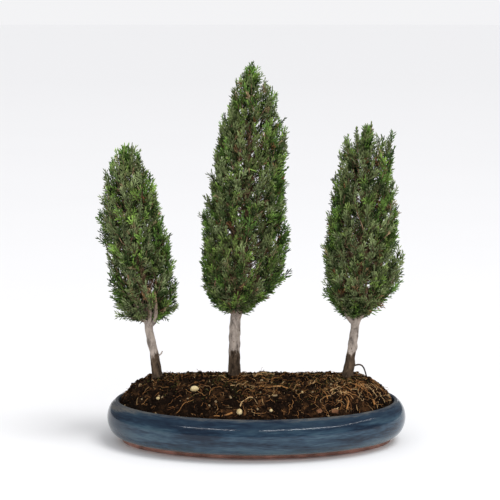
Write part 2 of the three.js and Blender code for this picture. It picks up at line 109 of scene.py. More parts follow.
class GroveSoilSettings(bpy.types.PropertyGroup):
    rise: length_setting("Rise", "How far the heap stands above the rim", 21.6)
    shoulder: length_setting("Shoulder", "Setback from the belly at which the heap levels off", 54)
    ridge: length_setting("Ridge", "How far behind the middle the heap begins to fall away", 14)
    back_fall: FloatProperty(
        name="Back fall", description="Slope of the heap behind the trees", default=0.22, min=0.0
    )
    lumps: length_setting("Lumps", "Height of the heap's lumps", 2.8)
    crumbs: IntProperty(name="Crumbs", description="Loose crumbs of soil", default=9000, min=0)
    fibres: IntProperty(name="Fibres", description="Fine root fibres", default=1500, min=0)
    roots: IntProperty(name="Roots", description="Longer bare roots", default=75, min=0)
    moss: IntProperty(name="Moss", description="Sprigs of moss", default=2600, min=0)
    dark: colour_setting("Dark soil", "Damp soil", 0.009, 0.0048, 0.0026)
    pale: colour_setting("Pale soil", "Dry crumbs and bark dust", 0.13, 0.06, 0.023)


class GroveWoodSettings(bpy.types.PropertyGroup):
    sides: IntProperty(name="Sides", description="Facets around a trunk", default=28, min=8)
    furrows: length_setting("Furrows", "Depth of the furrows in the bark", 0.75)
    dark_bark: colour_setting("Old bark", "The bark near the soil", 0.068, 0.046, 0.03)
    pale_bark: colour_setting("Bare bark", "The bark under the crown", 0.51, 0.43, 0.37)
    twig_bark: colour_setting("Twig bark", "The thin twigs inside the crown", 0.3, 0.185, 0.11)


class GroveFoliageSettings(bpy.types.PropertyGroup):
    plume_spacing: length_setting("Plume spacing", "Between the ends of neighbouring plumes", 11)
    plume_length: length_setting("Plume length", "From a plume's base to its end", 28)
    sprays: IntProperty(name="Sprays", description="Sprays on each plume", default=11, min=1)
    spray_length: length_setting("Spray length", "Length of a spray's main shoot", 12.5)
    shoot_width: length_setting("Shoot width", "Thickness of a shoot", 1.35)
    # The deep green marks old shoots, and is painted shade on the sprays inside the crown.
    old_and_shade_green: colour_setting("Deep green", "Old shaded shoots", 0.012, 0.022, 0.006)
    mid: colour_setting("Mid green", "Most of the shoots", 0.06, 0.105, 0.026)
    fresh: colour_setting("Fresh green", "New growth", 0.1, 0.19, 0.035)
    bright: colour_setting("Bright green", "The newest tips", 0.19, 0.3, 0.06)
    olive: colour_setting("Olive", "Older shoots in the light", 0.12, 0.15, 0.05)
    # The grey greens' pale end, up to grey made 1.3 times brighter, is partly a painted highlight on
    # pale shoots.
    grey: colour_setting("Grey green", "Pale undersides", 0.145, 0.18, 0.078)
    tan: colour_setting("Tan", "Bare and drying shoots", 0.36, 0.26, 0.15)
    dead: colour_setting("Dry shoots", "Dead shoots", 0.2, 0.092, 0.035)


class GroveStageSettings(bpy.types.PropertyGroup):
    distance: length_setting("Camera distance", "From the camera to the grove", 1700, largest=9000)
    pitch: FloatProperty(
        name="Camera pitch",
        description="How far the camera looks down",
        default=math.radians(7.9),
        subtype="ANGLE",
    )
    lens: FloatProperty(
        name="Lens", description="Focal length", default=123.1, min=10.0, unit="CAMERA"
    )
    floor: colour_setting("Floor", "The studio floor", 0.9, 0.9, 0.91)
    daylight: FloatProperty(
        name="Daylight", description="Strength of the light from all round", default=0.68, min=0.0
    )
    sunlight: FloatProperty(
        name="Sunlight", description="Strength of the soft light from one side", default=1.5, min=0.0
    )


SETTINGS = {
    "grove_pot": GrovePotSettings,
    "grove_soil": GroveSoilSettings,
    "grove_wood": GroveWoodSettings,
    "grove_foliage": GroveFoliageSettings,
    "grove_stage": GroveStageSettings,
}


# ---------------------------------------------------------------- mesh helpers


def clamped(value, low=0.0, high=1.0):
    return min(max(value, low), high)


def nodes_named(start, part=""):
    """The frame's nodes whose names begin with a start and hold a part."""
    return sorted(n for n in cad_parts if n.startswith(start) and part in n)


def of_type(geometry, kind):
    return [item for item in geometry if isinstance(item, kind)]


def ring_edges(verts):
    """The edges whose two ends are both in a ring of vertices, in the order of the ring."""
    ring = set(verts)
    return list(dict.fromkeys(e for v in verts for e in v.link_edges if set(e.verts) <= ring))


def start_ring(bm, sides, place):
    """A circle of vertices. Each remembers its angle, and place(angle) puts it in its place."""
    turn = bm.verts.layers.float.get("turn") or bm.verts.layers.float.new("turn")
    verts = bmesh.ops.create_circle(bm, segments=sides, radius=1.0)["verts"]
    for i, vert in enumerate(verts):
        vert[turn] = FULL_TURN * i / sides
        vert.co = place(vert[turn])
    return verts


def extend_ring(bm, verts, place):
    """Extrudes a ring and puts the new one in its place. Returns the new ring."""
    turn = bm.verts.layers.float["turn"]
    made = bmesh.ops.extrude_edge_only(bm, edges=ring_edges(verts))["geom"]
    fresh = of_type(made, bmesh.types.BMVert)
    for vert in fresh:
        vert.co = place(vert[turn])
    return fresh


def close_ring(bm, verts):
    bmesh.ops.edgeloop_fill(bm, edges=ring_edges(verts))


def point_outwards(bm):
    bmesh.ops.recalc_face_normals(bm, faces=bm.faces)


def sweep_frames(points):
    """A pair of cross axes at each point of a line, which turn as little as they can."""
    frames = []
    across = None
    for i in range(len(points)):
        tangent = (points[min(i + 1, len(points) - 1)] - points[max(i - 1, 0)]).normalized()
        if across is None:
            across = tangent.orthogonal().normalized()
        across = (across - tangent * across.dot(tangent)).normalized()
        frames.append((across.copy(), tangent.cross(across)))
    return frames


def make_tube(points, radii, sides, relief=None):
    """A closed tube through the points. relief(point, angle) is added to its radius there."""
    bm = bmesh.new()
    frames = sweep_frames(points)

    def placer(i):
        across, up = frames[i]

        def place(angle):
            outwards = across * math.cos(angle) + up * math.sin(angle)
            point = points[i] + outwards * radii[i]
            return point + outwards * relief(point, angle) if relief else point

        return place

    ring = start_ring(bm, sides, placer(0))
    close_ring(bm, ring)
    for i in range(1, len(points)):
        ring = extend_ring(bm, ring, placer(i))
    close_ring(bm, ring)
    point_outwards(bm)
    return bm


def tapered(radius, count, loss):
    """Radii along a line, which lose a share of the first one on the way."""
    return [radius * (1 - loss * i / count) for i in range(count)]


def smooth_line(points, steps):
    """Points along a smooth curve through the given ones."""
    ends = [points[0] * 2 - points[1], *points, points[-1] * 2 - points[-2]]
    line = []
    for i in range(len(points) - 1):
        a, b, c, d = ends[i : i + 4]
        for k in range(steps):
            t = k / steps
            line.append(
                0.5 * (2 * b + (c - a) * t + (2 * a - 5 * b + 4 * c - d) * t**2)
                + 0.5 * (3 * b - 3 * c + d - a) * t**3
            )
    return [*line, points[-1].copy()]


def keep_mesh(name, bm):
    mesh = bpy.data.meshes.new(name)
    bm.to_mesh(mesh)
    bm.free()
    return mesh


def gather(placements):
    """One bmesh of every placed copy: placements are pairs of a small mesh and its matrix."""
    bm = bmesh.new()
    for shape, matrix in placements:
        copy = shape.copy()
        copy.transform(matrix)
        bm.from_mesh(copy)
        bpy.data.meshes.remove(copy)
    return bm


def merge(parts):
    """One bmesh of several, which are freed."""
    bm = bmesh.new()
    for part in parts:
        mesh = keep_mesh("part", part)
        bm.from_mesh(mesh)
        bpy.data.meshes.remove(mesh)
    return bm


def add_piece(name, bm, finishes, nodes=(), sharp_over=None):
    """A finished piece of the object, in the frame's place, standing for the nodes it replaces."""
    mesh = keep_mesh(name, bm)
    for finish in finishes:
        mesh.materials.append(finish)
    if sharp_over is not None:
        mesh.shade_smooth()
        mesh.set_sharp_from_angle(angle=sharp_over)
    piece = bpy.data.objects.new(name, mesh)
    bpy.context.scene.collection.objects.link(piece)
    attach(piece, "root")
    if nodes:
        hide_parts(*nodes)


def facing(direction, position, scale=1.0, roll=0.0):
    """The matrix that stands a shape's +Z along a direction, rolled about it."""
    turn = direction.to_track_quat("Z", "Y").to_matrix().to_4x4()
    roll_about = Matrix.Rotation(roll, 4, "Z")
    return Matrix.Translation(position) @ turn @ roll_about @ Matrix.Scale(scale, 4)


def tint_map(bm):
    """The UV map that holds a piece's tint across and its place along the shape upwards; on shoots
    this place is turned into a span of painted shade.
    """
    return bm.loops.layers.uv.get("OFBake") or bm.loops.layers.uv.new("OFBake")


TINT_STEPS = 24
TINT_WIDTH = 0.3 / TINT_STEPS


def paint_tint(bm, verts, tint, along_of):
    """Gives the faces of some vertices a tint from 0 to 1, and along_of(point) from 0 to 1."""
    layer = tint_map(bm)
    for face in {f for v in verts for f in v.link_faces}:
        for i, loop in enumerate(face.loops):
            spread = TINT_WIDTH * (i / len(face.loops) - 0.5)
            along = clamped(along_of(loop.vert.co))
            loop[layer].uv = (0.02 + 0.96 * tint + spread, 0.02 + 0.96 * along)


def tinted_shapes(make_shape):
    """make_shape(bm, tint) once for each tint, as small meshes."""
    shapes = []
    for step in range(TINT_STEPS):
        bm = bmesh.new()
        make_shape(bm, (step + 0.5) / TINT_STEPS)
        shapes.append(keep_mesh("shape", bm))
    return shapes


def pick_tint(shapes, tint):
    return shapes[clamped(int(tint * TINT_STEPS), 0, TINT_STEPS - 1)]


# ---------------------------------------------------------------- shader helpers


def add_node(tree, kind, inputs=None, **settings):
    """A shader node with its settings, and its inputs linked or set."""
    made = tree.nodes.new(kind)
    for name, value in settings.items():
        setattr(made, name, value)
    for name, value in (inputs or {}).items():
        if isinstance(value, bpy.types.NodeSocket):
            tree.links.new(value, made.inputs[name])
        else:
            made.inputs[name].default_value = value
    return made


def add_ramp(tree, factor, stops):
    """A colour ramp. stops are pairs of a place and a colour or a grey value."""
    made = add_node(tree, "ShaderNodeValToRGB", {"Fac": factor})
    elements = made.color_ramp.elements
    while len(elements) < len(stops):
        elements.new(0.5)
    for element, (place, colour) in zip(elements, stops):
        element.position = place
        rgb = (colour,) * 3 if isinstance(colour, float) else tuple(colour)
        element.color = (*rgb, 1.0)
    return made.outputs["Color"]


def add_mix(tree, factor, first, second, blend="MIX"):
    """A colour mix. Colours are sockets or triples."""
    made = add_node(tree, "ShaderNodeMix", data_type="RGBA", blend_type=blend)
    for name, value in (("Factor", factor), ("A", first), ("B", second)):
        sockets = [s for s in made.inputs if s.name == name and s.enabled]
        if isinstance(value, bpy.types.NodeSocket):
            tree.links.new(value, sockets[0])
        elif name == "Factor":
            sockets[0].default_value = value
        else:
            sockets[0].default_value = (*value, 1.0)
    return [s for s in made.outputs if s.enabled][0]


def add_math(tree, operation, first, second=0.0, clamp=False):
    made = add_node(tree, "ShaderNodeMath", operation=operation, use_clamp=clamp)
    for i, value in enumerate((first, second)):
        if isinstance(value, bpy.types.NodeSocket):
            tree.links.new(value, made.inputs[i])
        else:
            made.inputs[i].default_value = value
    return made.outputs[0]


def add_band(tree, value, start, end):
    """0 where a value is at start or before it, and 1 at end or past it."""
    inputs = {"Value": value, "From Min": start, "From Max": end}
    return add_node(tree, "ShaderNodeMapRange", inputs, clamp=True).outputs["Result"]


def add_range(tree, value, low, high):
    """Spreads a value between 0 and 1 from low to high."""
    inputs = {"Value": value, "To Min": low, "To Max": high}
    return add_node(tree, "ShaderNodeMapRange", inputs).outputs["Result"]


def add_noise(tree, vector, scale, detail):
    inputs = {"Vector": vector, "Scale": scale, "Detail": detail}
    return add_node(tree, "ShaderNodeTexNoise", inputs).outputs["Fac"]


def new_group(name, inputs, outputs):
    """A shader node group with named sockets, and its own input and output nodes."""
    group = bpy.data.node_groups.new(name, "ShaderNodeTree")
    for socket, kind, value in inputs:
        made = group.interface.new_socket(socket, in_out="INPUT", socket_type=kind)
        if value is not None:
            made.default_value = value
    for socket in outputs:
        group.interface.new_socket(socket, in_out="OUTPUT", socket_type="NodeSocketFloat")
    return group, group.nodes.new("NodeGroupInput"), group.nodes.new("NodeGroupOutput")


def mottling_group():
    """Soft patches with finer flecks in them, for any surface that isn't one tone."""
    name = "Mottling"
    if name in bpy.data.node_groups:
        return bpy.data.node_groups[name]
    group, given, out = new_group(
        name,
        [
            ("Vector", "NodeSocketVector", None),
            ("Patches", "NodeSocketFloat", 20.0),
            ("Flecks", "NodeSocketFloat", 300.0),
            ("Fleck share", "NodeSocketFloat", 0.35),
        ],
        ["Tone", "Fine"],
    )
    vector, patches, flecks, share = given.outputs[:4]
    broad = add_noise(group, vector, patches, 4.0)
    fine = add_noise(group, vector, flecks, 3.0)
    shift = add_math(group, "MULTIPLY", add_math(group, "SUBTRACT", fine, 0.5), share)
    tone = add_math(group, "ADD", add_band(group, broad, 0.3, 0.7), shift, clamp=True)
    group.links.new(tone, out.inputs["Tone"])
    group.links.new(fine, out.inputs["Fine"])
    return group


def relief_group():
    """A height made of three sizes of bump, for a surface's close detail."""
    name = "Close Relief"
    if name in bpy.data.node_groups:
        return bpy.data.node_groups[name]
    group, given, out = new_group(
        name,
        [
            ("Vector", "NodeSocketVector", None),
            ("Coarse", "NodeSocketFloat", 200.0),
            ("Fine", "NodeSocketFloat", 900.0),
            ("Pits", "NodeSocketFloat", 0.0),
        ],
        ["Height"],
    )
    vector, coarse, fine, pits = given.outputs[:4]
    broad = add_noise(group, vector, coarse, 3.0)
    close = add_noise(group, vector, fine, 2.0)
    grid = {"Vector": vector, "Scale": fine}
    cells = add_node(group, "ShaderNodeTexVoronoi", grid).outputs["Distance"]
    holes = add_math(group, "MULTIPLY", add_band(group, cells, 0.3, 0.1), pits)
    height = add_math(group, "ADD", broad, add_math(group, "MULTIPLY", close, 0.4))
    group.links.new(add_math(group, "SUBTRACT", height, holes), out.inputs["Height"])
    return group


def new_finish(name, roughness, specular=0.5):
    """A material with its Principled shader, its node tree and its object coordinates."""
    finish = bpy.data.materials.new(name)
    finish.use_nodes = True
    tree = finish.node_tree
    shader = next(n for n in tree.nodes if n.type == "BSDF_PRINCIPLED")
    shader.inputs["Roughness"].default_value = roughness
    shader.inputs["Specular IOR Level"].default_value = specular
    place = add_node(tree, "ShaderNodeTexCoord").outputs["Object"]
    return finish, tree, shader, place


def stretched(tree, place, scale):
    """Coordinates in which a pattern is long along the axes whose scale is small."""
    return add_node(tree, "ShaderNodeMapping", {"Vector": place, "Scale": scale}).outputs["Vector"]


def add_mottling(tree, vector, patches, flecks, share=0.35):
    """Places the mottling group with its own values. Returns its tone and its fine flecks."""
    made = add_node(tree, "ShaderNodeGroup", node_tree=mottling_group())
    tree.links.new(vector, made.inputs["Vector"])
    made.inputs["Patches"].default_value = patches
    made.inputs["Flecks"].default_value = flecks
    made.inputs["Fleck share"].default_value = share
    return made.outputs["Tone"], made.outputs["Fine"]


def add_relief(tree, shader, vector, coarse, fine, depth, pits=0.0, strength=1.0):
    """Places the relief group and bumps the shader's normal with it, to a depth in metres."""
    made = add_node(tree, "ShaderNodeGroup", node_tree=relief_group())
    tree.links.new(vector, made.inputs["Vector"])
    made.inputs["Coarse"].default_value = coarse
    made.inputs["Fine"].default_value = fine
    made.inputs["Pits"].default_value = pits
    inputs = {"Height": made.outputs["Height"], "Distance": depth, "Strength": strength}
    bump = add_node(tree, "ShaderNodeBump", inputs).outputs["Normal"]
    tree.links.new(bump, shader.inputs["Normal"])


def shades_of(colour, shares):
    """Ramp stops of one colour, from pairs of a place and a share of its brightness."""
    return [(place, [c * share for c in colour]) for place, share in shares]


def mottled_finish(name, gloss, mottling, stops, relief=None, grain=None):
    """A finish whose colour follows a mottled tone. gloss is its roughness and specular."""
    finish, tree, shader, place = new_finish(name, *gloss)
    place = stretched(tree, place, grain) if grain else place
    tone, _ = add_mottling(tree, place, *mottling)
    tree.links.new(add_ramp(tree, tone, stops), shader.inputs["Base Color"])
    if relief:
        add_relief(tree, shader, place, *relief)
    return finish


def height_of(tree, place):
    return add_node(tree, "ShaderNodeSeparateXYZ", {"Vector": place}).outputs["Z"]


def tint_of(tree):
    """A tinted shape's tint, and its place along the shape, which the leaf and moss finishes turn
    into painted shade.
    """
    uv = add_node(tree, "ShaderNodeUVMap", uv_map="OFBake").outputs["UV"]
    split = add_node(tree, "ShaderNodeSeparateXYZ", {"Vector": uv})
    return split.outputs["X"], split.outputs["Y"]


# ---------------------------------------------------------------- the pot

POT_LOW, POT_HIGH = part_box("pot")
HALF_LENGTH = (POT_HIGH.x - POT_LOW.x) / 2
HALF_WIDTH = (POT_HIGH.y - POT_LOW.y) / 2
RIM = POT_HIGH.z

FOOT_GROOVE = 0.5 * MM  # the step between the foot and the glazed wall
FOOT_TAPER = 0.8 * MM
FOOT_SETBACK = (15 * MM, 26 * MM)  # at the ends and along the sides
FOOT_OVERHANG = (3 * MM, 9 * MM)
LIP_ROUND = 1 * MM
COVE = 3 * MM
LOWER_ARC = math.radians(75)
UPPER_ARC = math.radians(62)


def oval_point(angle, setback_ends, setback_sides, height):
    """The point at an angle around the plan, a setback inside the pot's widest line."""
    normal = Vector((math.cos(angle) / HALF_LENGTH, math.sin(angle) / HALF_WIDTH)).normalized()
    setback = setback_ends + (setback_sides - setback_ends) * normal.y**2
    x = HALF_LENGTH * math.cos(angle) - setback * normal.x
    y = HALF_WIDTH * math.sin(angle) - setback * normal.y
    return Vector((x, y, height))


def wall_level(pot, angle, inwards):
    """A level of the wall's outer curve, or of its inner one if it is moved in by the wall."""
    glaze_edge = pot.foot_height + FOOT_GROOVE
    below = angle < 0
    arc = LOWER_ARC if below else UPPER_ARC
    drop = pot.belly - (glaze_edge if below else RIM - LIP_ROUND)
    lean = (1 - math.cos(angle)) / (1 - math.cos(arc))
    height = pot.belly - drop * math.sin(abs(angle)) / math.sin(arc)
    if below:
        reach = [setback - over for setback, over in zip(FOOT_SETBACK, FOOT_OVERHANG)]
    else:
        reach = [pot.lip_setback] * 2
    return (inwards + lean * reach[0], inwards + lean * reach[1], height)


def spread_angles(start, end, steps):
    return [start + (end - start) * i / steps for i in range(steps + 1)]


def pot_levels(pot):
    """The pot's levels from the underside, out over the foot, up the wall and down inside."""
    glaze_edge = pot.foot_height + FOOT_GROOVE
    floor_top = glaze_edge + pot.floor
    foot = FOOT_SETBACK
    edge = 0.5 * MM  # how far each corner of the foot is rounded
    inner = [setback + pot.foot_width for setback in foot]
    crest = pot.lip_setback + pot.lip_width / 2
    cove_drop = (pot.belly - floor_top - COVE) / (pot.belly - glaze_edge)
    cove_angle = math.asin(cove_drop * math.sin(LOWER_ARC))
    underside = [
        (inner[0] + FOOT_TAPER, inner[1] + FOOT_TAPER, glaze_edge),
        (inner[0] + edge, inner[1] + edge, edge),
        (inner[0] - edge, inner[1] - edge, 0.0),
    ]
    outside = [
        (foot[0] + edge, foot[1] + edge, 0.0),
        (foot[0], foot[1], edge),
        (foot[0] - FOOT_TAPER / 2, foot[1] - FOOT_TAPER / 2, pot.foot_height - 2 * edge),
        (foot[0] - FOOT_TAPER, foot[1] - FOOT_TAPER, pot.foot_height),
    ]
    wall = [wall_level(pot, a, 0.0) for a in spread_angles(-LOWER_ARC, UPPER_ARC, 30)]
    lip = []
    for turn in spread_angles(math.radians(25), math.pi - math.radians(25), 6):
        reach = crest - pot.lip_width / 2 * math.cos(turn)
        lip.append((reach, reach, RIM - LIP_ROUND + LIP_ROUND * math.sin(turn)))
    lip_inside = pot.lip_setback + pot.lip_width
    inside = [(lip_inside, lip_inside, RIM - LIP_ROUND)]
    inside += [wall_level(pot, a, pot.wall) for a in spread_angles(UPPER_ARC * 0.8, -cove_angle, 12)]
    corner = inside[-1]
    for turn in spread_angles(0, math.pi / 2, 4)[1:]:
        shift = 2.4 * COVE * (1 - math.cos(turn))
        height = corner[2] - COVE * math.sin(turn)
        inside.append((corner[0] + shift, corner[1] + shift, max(height, floor_top)))
    return underside, outside, wall, lip, inside


def fill_floor(bm, outline, holes):
    """Fills the flat floor between an outline and the rings of the holes in it."""
    edges = ring_edges(outline)
    for hole in holes:
        edges += ring_edges(hole)
    bmesh.ops.triangle_fill(bm, edges=edges, use_beauty=True, use_dissolve=False)


def drain_rings(bm, pot, height):
    rings = []
    for side in (-1, 1):
        middle = Vector((side * pot.drain_spacing / 2, 0, height))
        place = Matrix.Translation(middle)
        made = bmesh.ops.create_circle(bm, segments=32, radius=pot.drain_radius, matrix=place)
        rings.append(made["verts"])
    return rings


def build_pot(settings):
    bm = bmesh.new()
    underside, outside, wall, lip, inside = pot_levels(settings)
    levels = underside + outside + wall + lip + inside
    first = start_ring(bm, settings.around, lambda angle: oval_point(angle, *levels[0]))
    ring = first
    for level in levels[1:]:
        ring = extend_ring(bm, ring, lambda angle, level=level: oval_point(angle, *level))
    low_holes = drain_rings(bm, settings, levels[0][2])
    high_holes = drain_rings(bm, settings, levels[-1][2])
    for low, high in zip(low_holes, high_holes):
        bmesh.ops.bridge_loops(bm, edges=ring_edges(low) + ring_edges(high))
    fill_floor(bm, first, low_holes)
    fill_floor(bm, ring, high_holes)
    point_outwards(bm)
    glaze_from = settings.foot_height + FOOT_GROOVE / 2
    inside_from = settings.lip_setback + settings.lip_width + settings.wall / 2
    for face in bm.faces:
        middle = face.calc_center_median()
        within = setback_of(middle.x, middle.y) > inside_from
        face.material_index = 1 if middle.z < glaze_from or within else 0
    finishes = [glaze_finish(settings), clay_finish(settings)]
    add_piece("glazed_pot", bm, finishes, ["pot"], math.radians(50))


def setback_of(x, y):
    """Roughly how far a point of the plan lies inside the widest line."""
    share = math.hypot(x / HALF_LENGTH, y / HALF_WIDTH)
    if share < 1e-6:
        return HALF_WIDTH
    edge = Vector((x, y)) / share
    normal = Vector((edge.x / HALF_LENGTH**2, edge.y / HALF_WIDTH**2)).normalized()
    return (edge - Vector((x, y))).dot(normal)


def glaze_finish(pot):
    finish, tree, shader, place = new_finish("blue_glaze", 0.1, 0.32)
    axes = add_node(tree, "ShaderNodeSeparateXYZ", {"Vector": place}).outputs
    streaks = stretched(tree, place, (0.16, 0.16, 1.4))
    tone, flecks = add_mottling(tree, streaks, 95.0, 620.0, 1.1)
    colour = add_ramp(
        tree,
        tone,
        [(0.15, pot.glaze_dark), (0.5, pot.glaze_mid), (0.9, pot.glaze_pale)],
    )
    clouds, _ = add_mottling(tree, stretched(tree, place, (1.0, 1.0, 2.5)), 22.0, 90.0, 0.7)
    thick = add_band(tree, axes["Z"], 26 * MM, 36 * MM)
    # Painted shade: left darkens the glaze towards the pot's left end. shade joins it to a darker
    # band over the upper wall and to cloudy patches, and pulls the colour towards the deep glaze.
    left = add_band(tree, axes["X"], -115 * MM, -142 * MM)
    shade = add_math(tree, "MAXIMUM", add_math(tree, "MULTIPLY", thick, 0.75), left)
    shade = add_math(tree, "ADD", shade, add_math(tree, "MULTIPLY", clouds, 0.35), clamp=True)
    colour = add_mix(tree, add_math(tree, "MULTIPLY", shade, 0.75), colour, pot.glaze_dark)
    wander = add_math(tree, "MULTIPLY", add_math(tree, "SUBTRACT", flecks, 0.5), 5 * MM)
    level = add_math(tree, "ADD", axes["Z"], wander)
    low = add_math(tree, "MULTIPLY", add_band(tree, level, 15 * MM, 9 * MM), clouds)
    colour = add_mix(tree, add_math(tree, "MULTIPLY", low, 0.5), colour, (0.045, 0.11, 0.13))
    worn_from = add_math(tree, "MULTIPLY", left, -5 * MM)
    worn_level = add_math(tree, "SUBTRACT", level, add_math(tree, "ADD", worn_from, RIM - 2.5 * MM))
    rim_wear = add_math(tree, "MULTIPLY", add_band(tree, worn_level, 0.0, 3 * MM), tone)
    colour = add_mix(tree, rim_wear, colour, pot.glaze_worn)
    edge = pot.foot_height + FOOT_GROOVE
    thin_edge = add_band(tree, level, edge + 3 * MM, edge + 0.4 * MM)
    colour = add_mix(tree, add_math(tree, "MULTIPLY", thin_edge, 0.7), colour, (0.26, 0.24, 0.19))
    tree.links.new(colour, shader.inputs["Base Color"])
    roughness = add_math(tree, "ADD", add_math(tree, "MULTIPLY", rim_wear, 0.4), 0.03)
    roughness = add_math(tree, "ADD", roughness, add_math(tree, "MULTIPLY", flecks, 0.05))
    tree.links.new(roughness, shader.inputs["Roughness"])
    add_relief(tree, shader, place, 45.0, 700.0, 0.22 * MM, pits=0.15, strength=0.5)
    return finish


def clay_finish(pot):
    stops = shades_of(pot.clay, [(0.0, 0.45), (0.5, 1.0), (1.0, 1.5)])
    relief = (400.0, 1600.0, 0.3 * MM, 0.6)
    return mottled_finish("stoneware_clay", (0.85, 0.25), (60.0, 900.0, 0.5), stops, relief)


# ---------------------------------------------------------------- drain screens and wires


def build_drains():
    """The screens and wires keep their CAD shapes and get their own finishes."""
    stops = [(0.0, (0.008, 0.014, 0.007)), (1.0, (0.03, 0.045, 0.022))]
    relief = (500.0, 2400.0, 0.1 * MM)
    screen = mottled_finish("screen_plastic", (0.55, 0.4), (90.0, 1200.0), stops, relief)
    wire, tree, shader, place = new_finish("wire_metal", 0.38)
    shader.inputs["Metallic"].default_value = 1.0
    tone, flecks = add_mottling(tree, place, 200.0, 2000.0)
    colour = add_ramp(tree, tone, [(0.0, (0.28, 0.28, 0.29)), (1.0, (0.55, 0.56, 0.57))])
    tree.links.new(colour, shader.inputs["Base Color"])
    tree.links.new(add_band(tree, flecks, 0.1, 1.6), shader.inputs["Roughness"])
    for side in ("left", "right"):
        for node, finish in ((f"{side}_drain_screen", screen), (f"{side}_screen_wire", wire)):
            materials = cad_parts[node].data.materials
            materials.clear()
            materials.append(finish)


# ---------------------------------------------------------------- the heap of soil

HEAP_STEEPNESS = 2.6
HEAP_EDGE_GAP = 0.5 * MM
HEAP_SIDES = 216
HEAP_STEP = 1.25 * MM  # between the rings over its top
ABOVE_ALL = 0.2  # a height over the heap, from which pieces are dropped onto it
BRIGHT_CRUMBS = 0.008  # share of the crumbs that are pale grit


def heap_edge(pot):
    """The setback and height at which the heap meets the inside of the wall."""
    level = wall_level(pot, UPPER_ARC * 0.8, pot.wall + HEAP_EDGE_GAP)
    return level[0], level[2]


def heap_height(pot, soil, setback, y):
    edge, low = heap_edge(pot)
    run = clamped((setback - edge) / (soil.shoulder - edge))
    crest = RIM + soil.rise
    dome = low + (crest - low) * (1 - (1 - run) ** HEAP_STEEPNESS)
    back = crest - soil.back_fall * max(y - soil.ridge, 0.0)
    return min(dome, back)


def heap_lumps(point, depth):
    broad = noise.noise(point * 60) + 0.5 * noise.noise(point * 130 + Vector((7, 3, 1)))
    fine = noise.noise(point * 330) + 0.6 * noise.noise(point * 700)
    return depth * (0.75 * broad + 0.35 * fine)


def soil_levels(pot):
    """The levels of the heap's body, and the setbacks of the rings over its top."""
    clear = 0.4 * MM
    edge, low = heap_edge(pot)
    floor_top = pot.foot_height + FOOT_GROOVE + pot.floor
    lower = wall_level(pot, -math.radians(28), pot.wall + clear)
    body = [
        (lower[0] + 9 * MM, lower[1] + 9 * MM, floor_top + clear),
        (lower[0] + 1 * MM, lower[1] + 1 * MM, floor_top + COVE),
        lower,
        wall_level(pot, 0.0, pot.wall + clear),
        (edge, edge, low),
    ]
    top = []
    setback = edge + HEAP_STEP
    while setback < HALF_WIDTH - 2 * HEAP_STEP:
        top.append(setback)
        setback += HEAP_STEP
    return body, top


def build_soil(pot, soil):
    bm = bmesh.new()
    body, top = soil_levels(pot)
    first = start_ring(bm, HEAP_SIDES, lambda angle: oval_point(angle, *body[0]))
    ring = first
    for level in body[1:]:
        ring = extend_ring(bm, ring, lambda angle, level=level: oval_point(angle, *level))
    for setback in top:

        def place(angle, setback=setback):
            point = oval_point(angle, setback, setback, 0.0)
            point.z = heap_height(pot, soil, setback, point.y)
            return point

        ring = extend_ring(bm, ring, place)
    # The last ring is a long thin oval, so straight edges across it close the top.
    close_ring(bm, ring)
    bmesh.ops.triangulate(bm, faces=[f for f in bm.faces if len(f.verts) > 4])
    pocket_soil_over_screens(bm, first)
    edge = heap_edge(pot)[0]
    for vert in bm.verts:
        setback = setback_of(vert.co.x, vert.co.y)
        if vert.co.z > RIM - 4 * MM:
            fade = clamped((setback - edge) / (5 * MM))
            vert.co.z += fade * heap_lumps(vert.co, soil.lumps)
    point_outwards(bm)
    add_piece("soil_heap", bm, [soil_finish(soil)], ["soil"], math.radians(60))


def pocket_soil_over_screens(bm, outline):
    """Closes the underside of the soil, with a pocket over each drain screen."""
    pockets = []
    for side in ("left", "right"):
        low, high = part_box(f"{side}_drain_screen")
        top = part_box(f"{side}_screen_wire")[1].z
        clear = 0.3 * MM
        size = (high.x - low.x) / 2 + clear
        height = outline[0].co.z
        place = Matrix.Translation(((low.x + high.x) / 2, 0, height))
        square = bmesh.ops.create_grid(bm, x_segments=1, y_segments=1, size=size, matrix=place)
        roof = list({f for v in square["verts"] for f in v.link_faces})
        bmesh.ops.delete(bm, geom=roof, context="FACES_ONLY")
        pockets.append((square["verts"], top + clear))
    fill_floor(bm, outline, [verts for verts, _ in pockets])
    for verts, top in pockets:
        made = bmesh.ops.extrude_edge_only(bm, edges=ring_edges(verts))["geom"]
        raised = of_type(made, bmesh.types.BMVert)
        for vert in raised:
            vert.co.z = top
        close_ring(bm, raised)


def soil_finish(soil):
    damp, dusty = [c * 0.5 for c in soil.dark], [c * 0.45 for c in soil.pale]
    stops = [(0.0, damp), (0.55, soil.dark), (1.0, dusty)]
    relief = (500.0, 1500.0, 1.2 * MM, 0.5)
    return mottled_finish("damp_soil", (0.92, 0.08), (70.0, 700.0, 0.9), stops, relief)


def crumb_finish(soil):
    finish, tree, shader, place = new_finish("soil_crumbs", 0.9, 0.08)
    tint, _ = tint_of(tree)
    colour = add_ramp(
        tree,
        tint,
        [
            (0.0, soil.dark),
            (0.55, [c * 2.2 for c in soil.dark]),
            (0.75, [c * 0.5 for c in soil.pale]),
            (0.92, soil.pale),
            (1.0, (0.42, 0.34, 0.2)),
        ],
    )
    tree.links.new(colour, shader.inputs["Base Color"])
    add_relief(tree, shader, place, 900.0, 2600.0, 0.4 * MM)
    return finish


